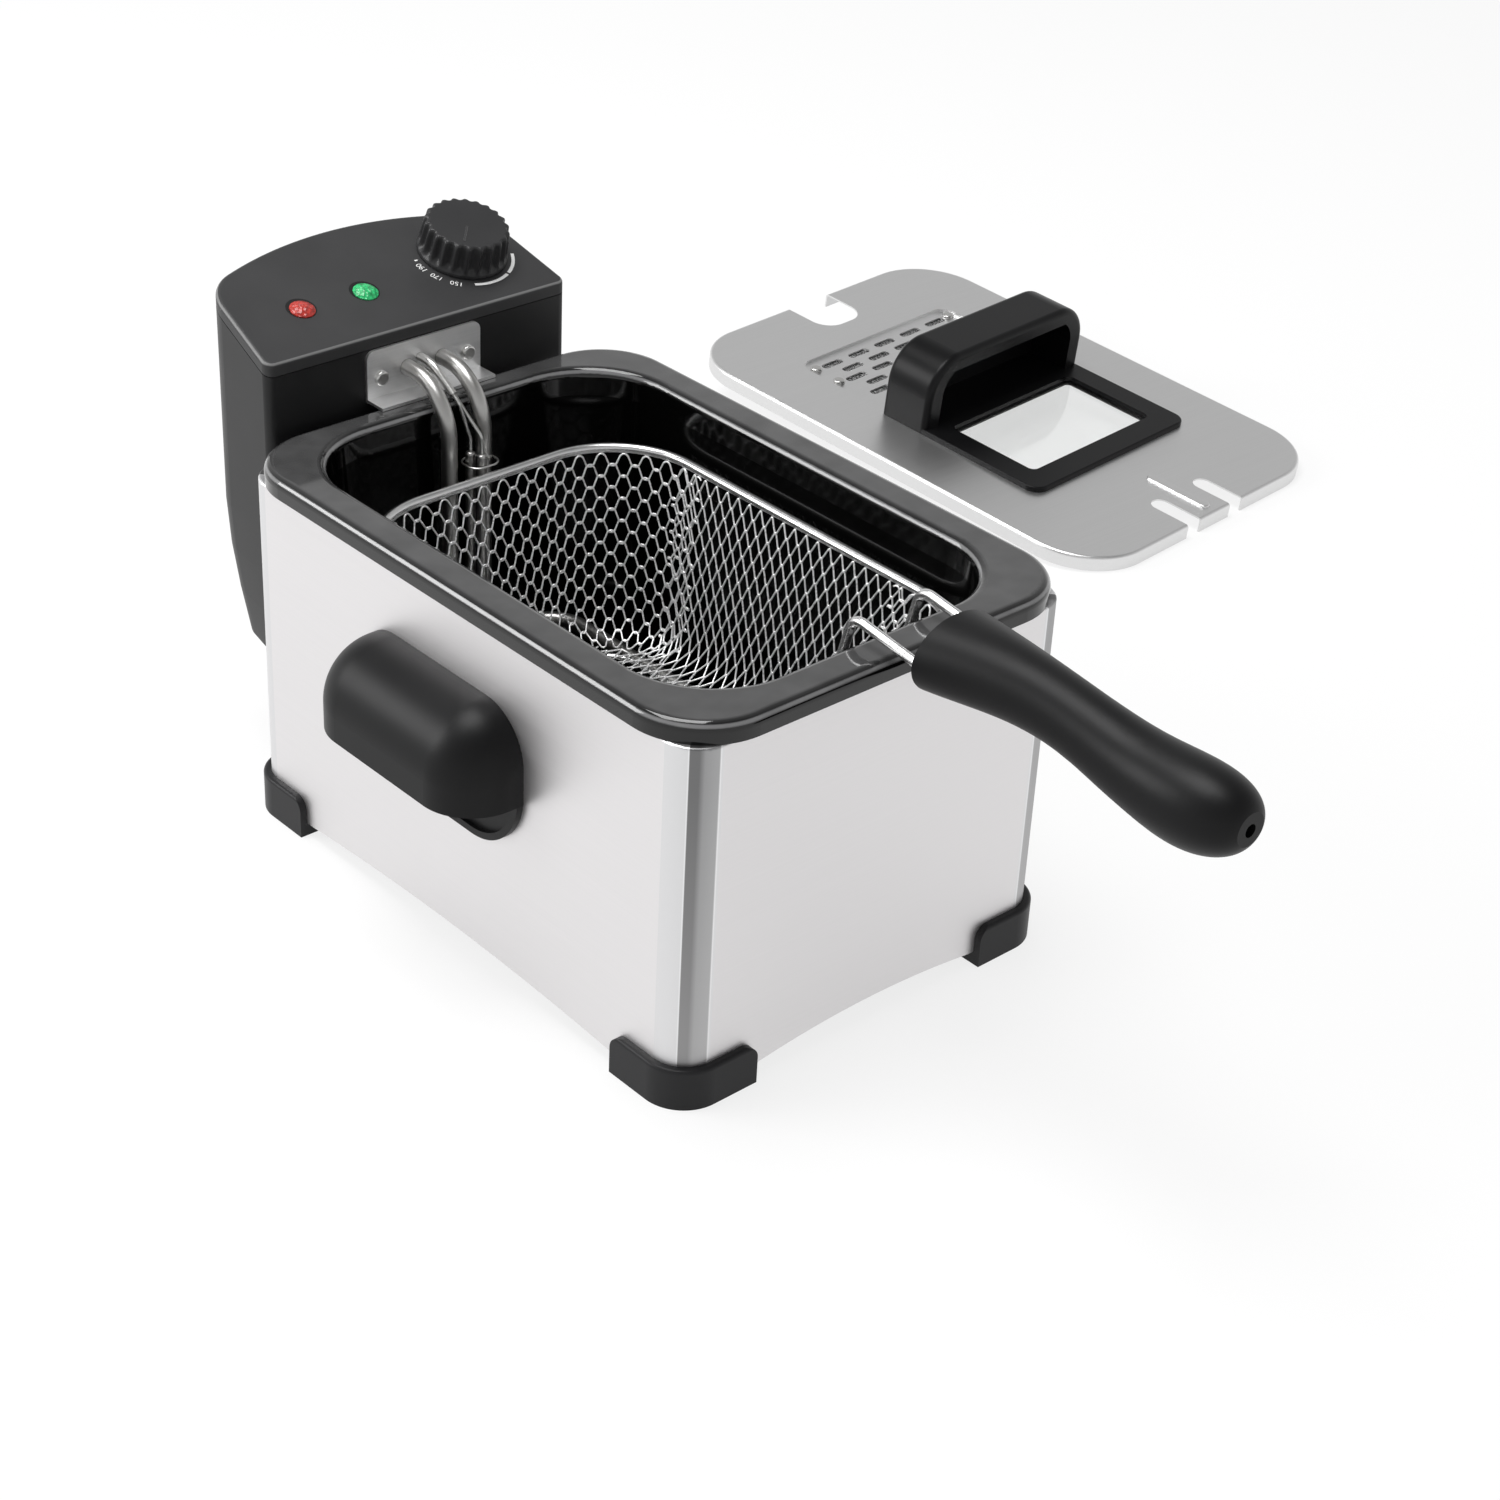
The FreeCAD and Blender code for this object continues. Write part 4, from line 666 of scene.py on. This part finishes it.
def weave_wall(side, place, first, last, rows, crimp):
    """Rows of hooked zigzag wires on one wall, from the rim down to the floor's edge."""
    step = (profile_length - floor_reach) / rows
    for row in range(rows):
        high = profile_length - row * step
        wire = []
        for column in range(first, last + 1):
            upper = (column + row) % 2 == 0
            along = high + HOOK if upper else high - step - HOOK
            if row == 0 and upper:
                along = high
            ease = -HOOK if upper else HOOK
            for shift, drop in crimp:
                wire.append(on_weave(place(side, column + shift), along + drop * ease))
        add_wire(wire)


for side in LONG_SIDES:
    weave_wall(side, long_place, -LONG_LAP, LONG_COLUMNS + LONG_LAP, LONG_ROWS, TIGHT_CRIMP)
for side in SHORT_SIDES:
    weave_wall(side, short_place, -CORNER_COLUMNS - SHORT_LAP,
               SHORT_COLUMNS + CORNER_COLUMNS + SHORT_LAP, SHORT_ROWS, WIDE_CRIMP)

FLOOR_ROWS = 16
FLOOR_LAP = 0.8 * MM
floor_half = FOOT_CORE + Vector((floor_reach, floor_reach))
floor_pitch = 2 * FOOT_CORE.y / LONG_COLUMNS
floor_step = 2 * floor_half.x / FLOOR_ROWS
floor_columns = int(floor_half.y / floor_pitch)
for row in range(FLOOR_ROWS):
    left = -floor_half.x + row * floor_step
    wire = []
    for column in range(-floor_columns, floor_columns + 1):
        outer = (column + row) % 2 == 1
        x = left - HOOK if outer else left + floor_step + HOOK
        ease = HOOK if outer else -HOOK
        for shift, drop in TIGHT_CRIMP:
            spot = Vector((x + drop * ease, (column + shift) * floor_pitch))
            past = Vector((max(abs(spot.x) - FOOT_CORE.x, 0.0),
                           max(abs(spot.y) - FOOT_CORE.y, 0.0)))
            if past.length <= floor_reach + FLOOR_LAP:
                wire.append((basket_middle.x + spot.x, basket_middle.y + spot.y, floor_z))
    add_wire(wire)
weave = bpy.data.objects.new("basket_weave", weave_curve)
bpy.context.scene.collection.objects.link(weave)
bpy.ops.object.select_all(action="DESELECT")
weave.select_set(True)
bpy.context.view_layer.objects.active = weave
bpy.ops.object.convert(target="MESH")
weave = bpy.context.object
bpy.ops.object.shade_smooth()
weave.data.materials.append(bright_wire)
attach(weave, "basket")
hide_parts("basket_mesh")

# Basket grip: long swollen black plastic handle, moulded over the two wires, with
# a hanging hole in its end.
grip_plastic = moulded(
    "grip_plastic", (0.003, 0.003, 0.0034), (0.006, 0.006, 0.0064), rough=(0.38, 0.47),
    relief=0.25, gloss=0.18)
dress(grip_plastic, "handle_grip")

# Lid: pressed stainless sheet with a turned-down edge, a sunk field of vent slots
# and a linished face, laid on the table behind the fryer.
LID_TURN = math.radians(5.0)
lid_steel = brushed_steel(
    "lid_steel", (0.70, 0.70, 0.70), (0.78, 0.78, 0.78), rough=(0.32, 0.42),
    stretch=(10, 1500, 1500), turn=(0, 0, -LID_TURN), relief=0.04)
dress(lid_steel, "lid_plate")

# Filter: a pad of knitted wire gauze that lies under the vent slots, in a shallow
# tray of dark painted sheet.
dress(dark_sheet, "filter_tray")
GAUZE_STRETCH = (1.0, 1.6, 1.0)
GAUZE_WIRE = 0.25
gauze, gauze_shader = new_finish("filter_gauze", (0.5, 0.5, 0.5), 0.35, metallic=1.0)
cells = add_node(gauze, "ShaderNodeTexVoronoi", Scale=520.0, feature="DISTANCE_TO_EDGE")
join(gauze, place_pattern(gauze, GAUZE_STRETCH, (0, 0, -LID_TURN)), cells.inputs["Vector"])
holes = add_node(gauze, "ShaderNodeMapRange", **{"From Max": GAUZE_WIRE})
join(gauze, cells.outputs["Distance"], holes.inputs["Value"])
in_hole = holes.outputs["Result"]
two_tone(gauze, in_hole, (0.62, 0.62, 0.62), (0.02, 0.02, 0.02),
         gauze_shader.inputs["Base Color"])
spread(gauze, in_hole, (0.28, 0.7), gauze_shader.inputs["Roughness"])
raise_skin(gauze, gauze_shader, in_hole, strength=0.6, depth=-0.5 * MM)
dress(gauze, "filter_pad")

# Lid handle and window frame: one satin black moulding, with a glass pane held in
# the frame by a rubber seal.
lid_plastic = moulded(
    "lid_plastic", (0.003, 0.003, 0.0034), (0.006, 0.006, 0.0064), rough=(0.30, 0.40),
    relief=0.3, gloss=0.15)
dress(lid_plastic, "lid_handle")
glass, glass_shader = new_finish("clear_glass", (0.96, 0.97, 0.965), 0.03)
glass_shader.inputs["Transmission Weight"].default_value = 1.0
glass_shader.inputs["IOR"].default_value = 1.5
spread(glass, mottle(glass, scale=24.0, detail=3.0), (0.02, 0.08),
       glass_shader.inputs["Roughness"])
dress(glass, "window_pane")

# Studio: a wide pale sweep of paper that keeps a soft shadow, a sky that is brightest
# near the floor, and two soft lamps, one above and one to the left.
PAPER_SIZE = 40.0
PAPER_GLOW = 0.80
bpy.ops.object.select_all(action="DESELECT")
bpy.ops.mesh.primitive_plane_add(size=PAPER_SIZE, location=(0, 0, 0))
paper = bpy.context.object
paper.name = "paper_floor"
paper_finish = bpy.data.materials.new("pale_paper")
paper_finish.use_nodes = True
paper_finish.node_tree.nodes.clear()
matt = add_node(paper_finish, "ShaderNodeBsdfDiffuse", Color=(0.86, 0.86, 0.86, 1.0))
glow = add_node(paper_finish, "ShaderNodeEmission", Color=(1.0, 1.0, 1.0, 1.0), Strength=1.0)
rays = add_node(paper_finish, "ShaderNodeLightPath")
seen = math_step(paper_finish, "MAXIMUM", rays.outputs["Is Camera Ray"],
                 rays.outputs["Is Glossy Ray"])
seen_or_clear = math_step(paper_finish, "MAXIMUM", seen, rays.outputs["Is Transmission Ray"])
blend = add_node(paper_finish, "ShaderNodeMixShader")
join(paper_finish, math_step(paper_finish, "MULTIPLY", seen_or_clear, PAPER_GLOW),
     blend.inputs["Fac"])
join(paper_finish, matt.outputs["BSDF"], blend.inputs[1])
join(paper_finish, glow.outputs["Emission"], blend.inputs[2])
sheet_end = add_node(paper_finish, "ShaderNodeOutputMaterial")
join(paper_finish, blend.outputs["Shader"], sheet_end.inputs["Surface"])
paper.data.materials.append(paper_finish)

SKY_LEVELS = ((0.10, 1.0), (0.34, 0.62), (0.66, 0.48), (0.88, 0.12))
world = bpy.data.worlds.new("studio")
bpy.context.scene.world = world
world.use_nodes = True
sky = world.node_tree.nodes["Background"]
sky.inputs["Color"].default_value = (1.0, 1.0, 1.0, 1.0)
sky_way = add_node(world, "ShaderNodeTexCoord")
sky_axes = add_node(world, "ShaderNodeSeparateXYZ")
join(world, sky_way.outputs["Generated"], sky_axes.inputs["Vector"])
join(world, grey_ramp(world, sky_axes.outputs["Z"], SKY_LEVELS), sky.inputs["Strength"])


def soft_lamp(name, place, aim, size, watts):
    """Square lamp that is aimed at a point."""
    panel = bpy.data.lights.new(name, "AREA")
    panel.shape = "SQUARE"
    panel.size = size
    panel.energy = watts
    lamp = bpy.data.objects.new(name, panel)
    bpy.context.scene.collection.objects.link(lamp)
    lamp.location = place
    lamp.rotation_euler = (Vector(aim) - Vector(place)).to_track_quat("-Z", "Y").to_euler()


soft_lamp("top_softbox", (-0.4, 0.3, 2.0), aim=(-0.1, 0.0, 0.1), size=1.1, watts=36.0)
soft_lamp("side_softbox", (-1.55, 1.25, 1.0), aim=(-0.2, 0.0, 0.1), size=0.9, watts=22.0)

# Camera: a long lens from the front left and above, rolled a little, so far off that
# the casing's edges draw together only slightly.
AZIMUTH, ELEVATION, ROLL = math.radians(-43.35), math.radians(31.5), math.radians(3.05)
CAMERA_PLACE = (-0.88885, -0.81878, 0.69622)
back = Vector((math.sin(AZIMUTH) * math.cos(ELEVATION), -math.cos(AZIMUTH) * math.cos(ELEVATION),
               math.sin(ELEVATION)))
right = Vector((math.cos(AZIMUTH), math.sin(AZIMUTH), 0.0))
up = back.cross(right)
rolled_right = right * math.cos(ROLL) + up * math.sin(ROLL)
rolled_up = up * math.cos(ROLL) - right * math.sin(ROLL)
lens = bpy.data.cameras.new("camera")
lens.lens = 70.8
lens.sensor_width = 36.0
camera = bpy.data.objects.new("camera", lens)
bpy.context.scene.collection.objects.link(camera)
turn = Matrix((rolled_right, rolled_up, back)).transposed().to_4x4()
camera.matrix_world = Matrix.Translation(CAMERA_PLACE) @ turn
bpy.context.scene.camera = camera
bpy.context.scene.view_settings.view_transform = "Standard"
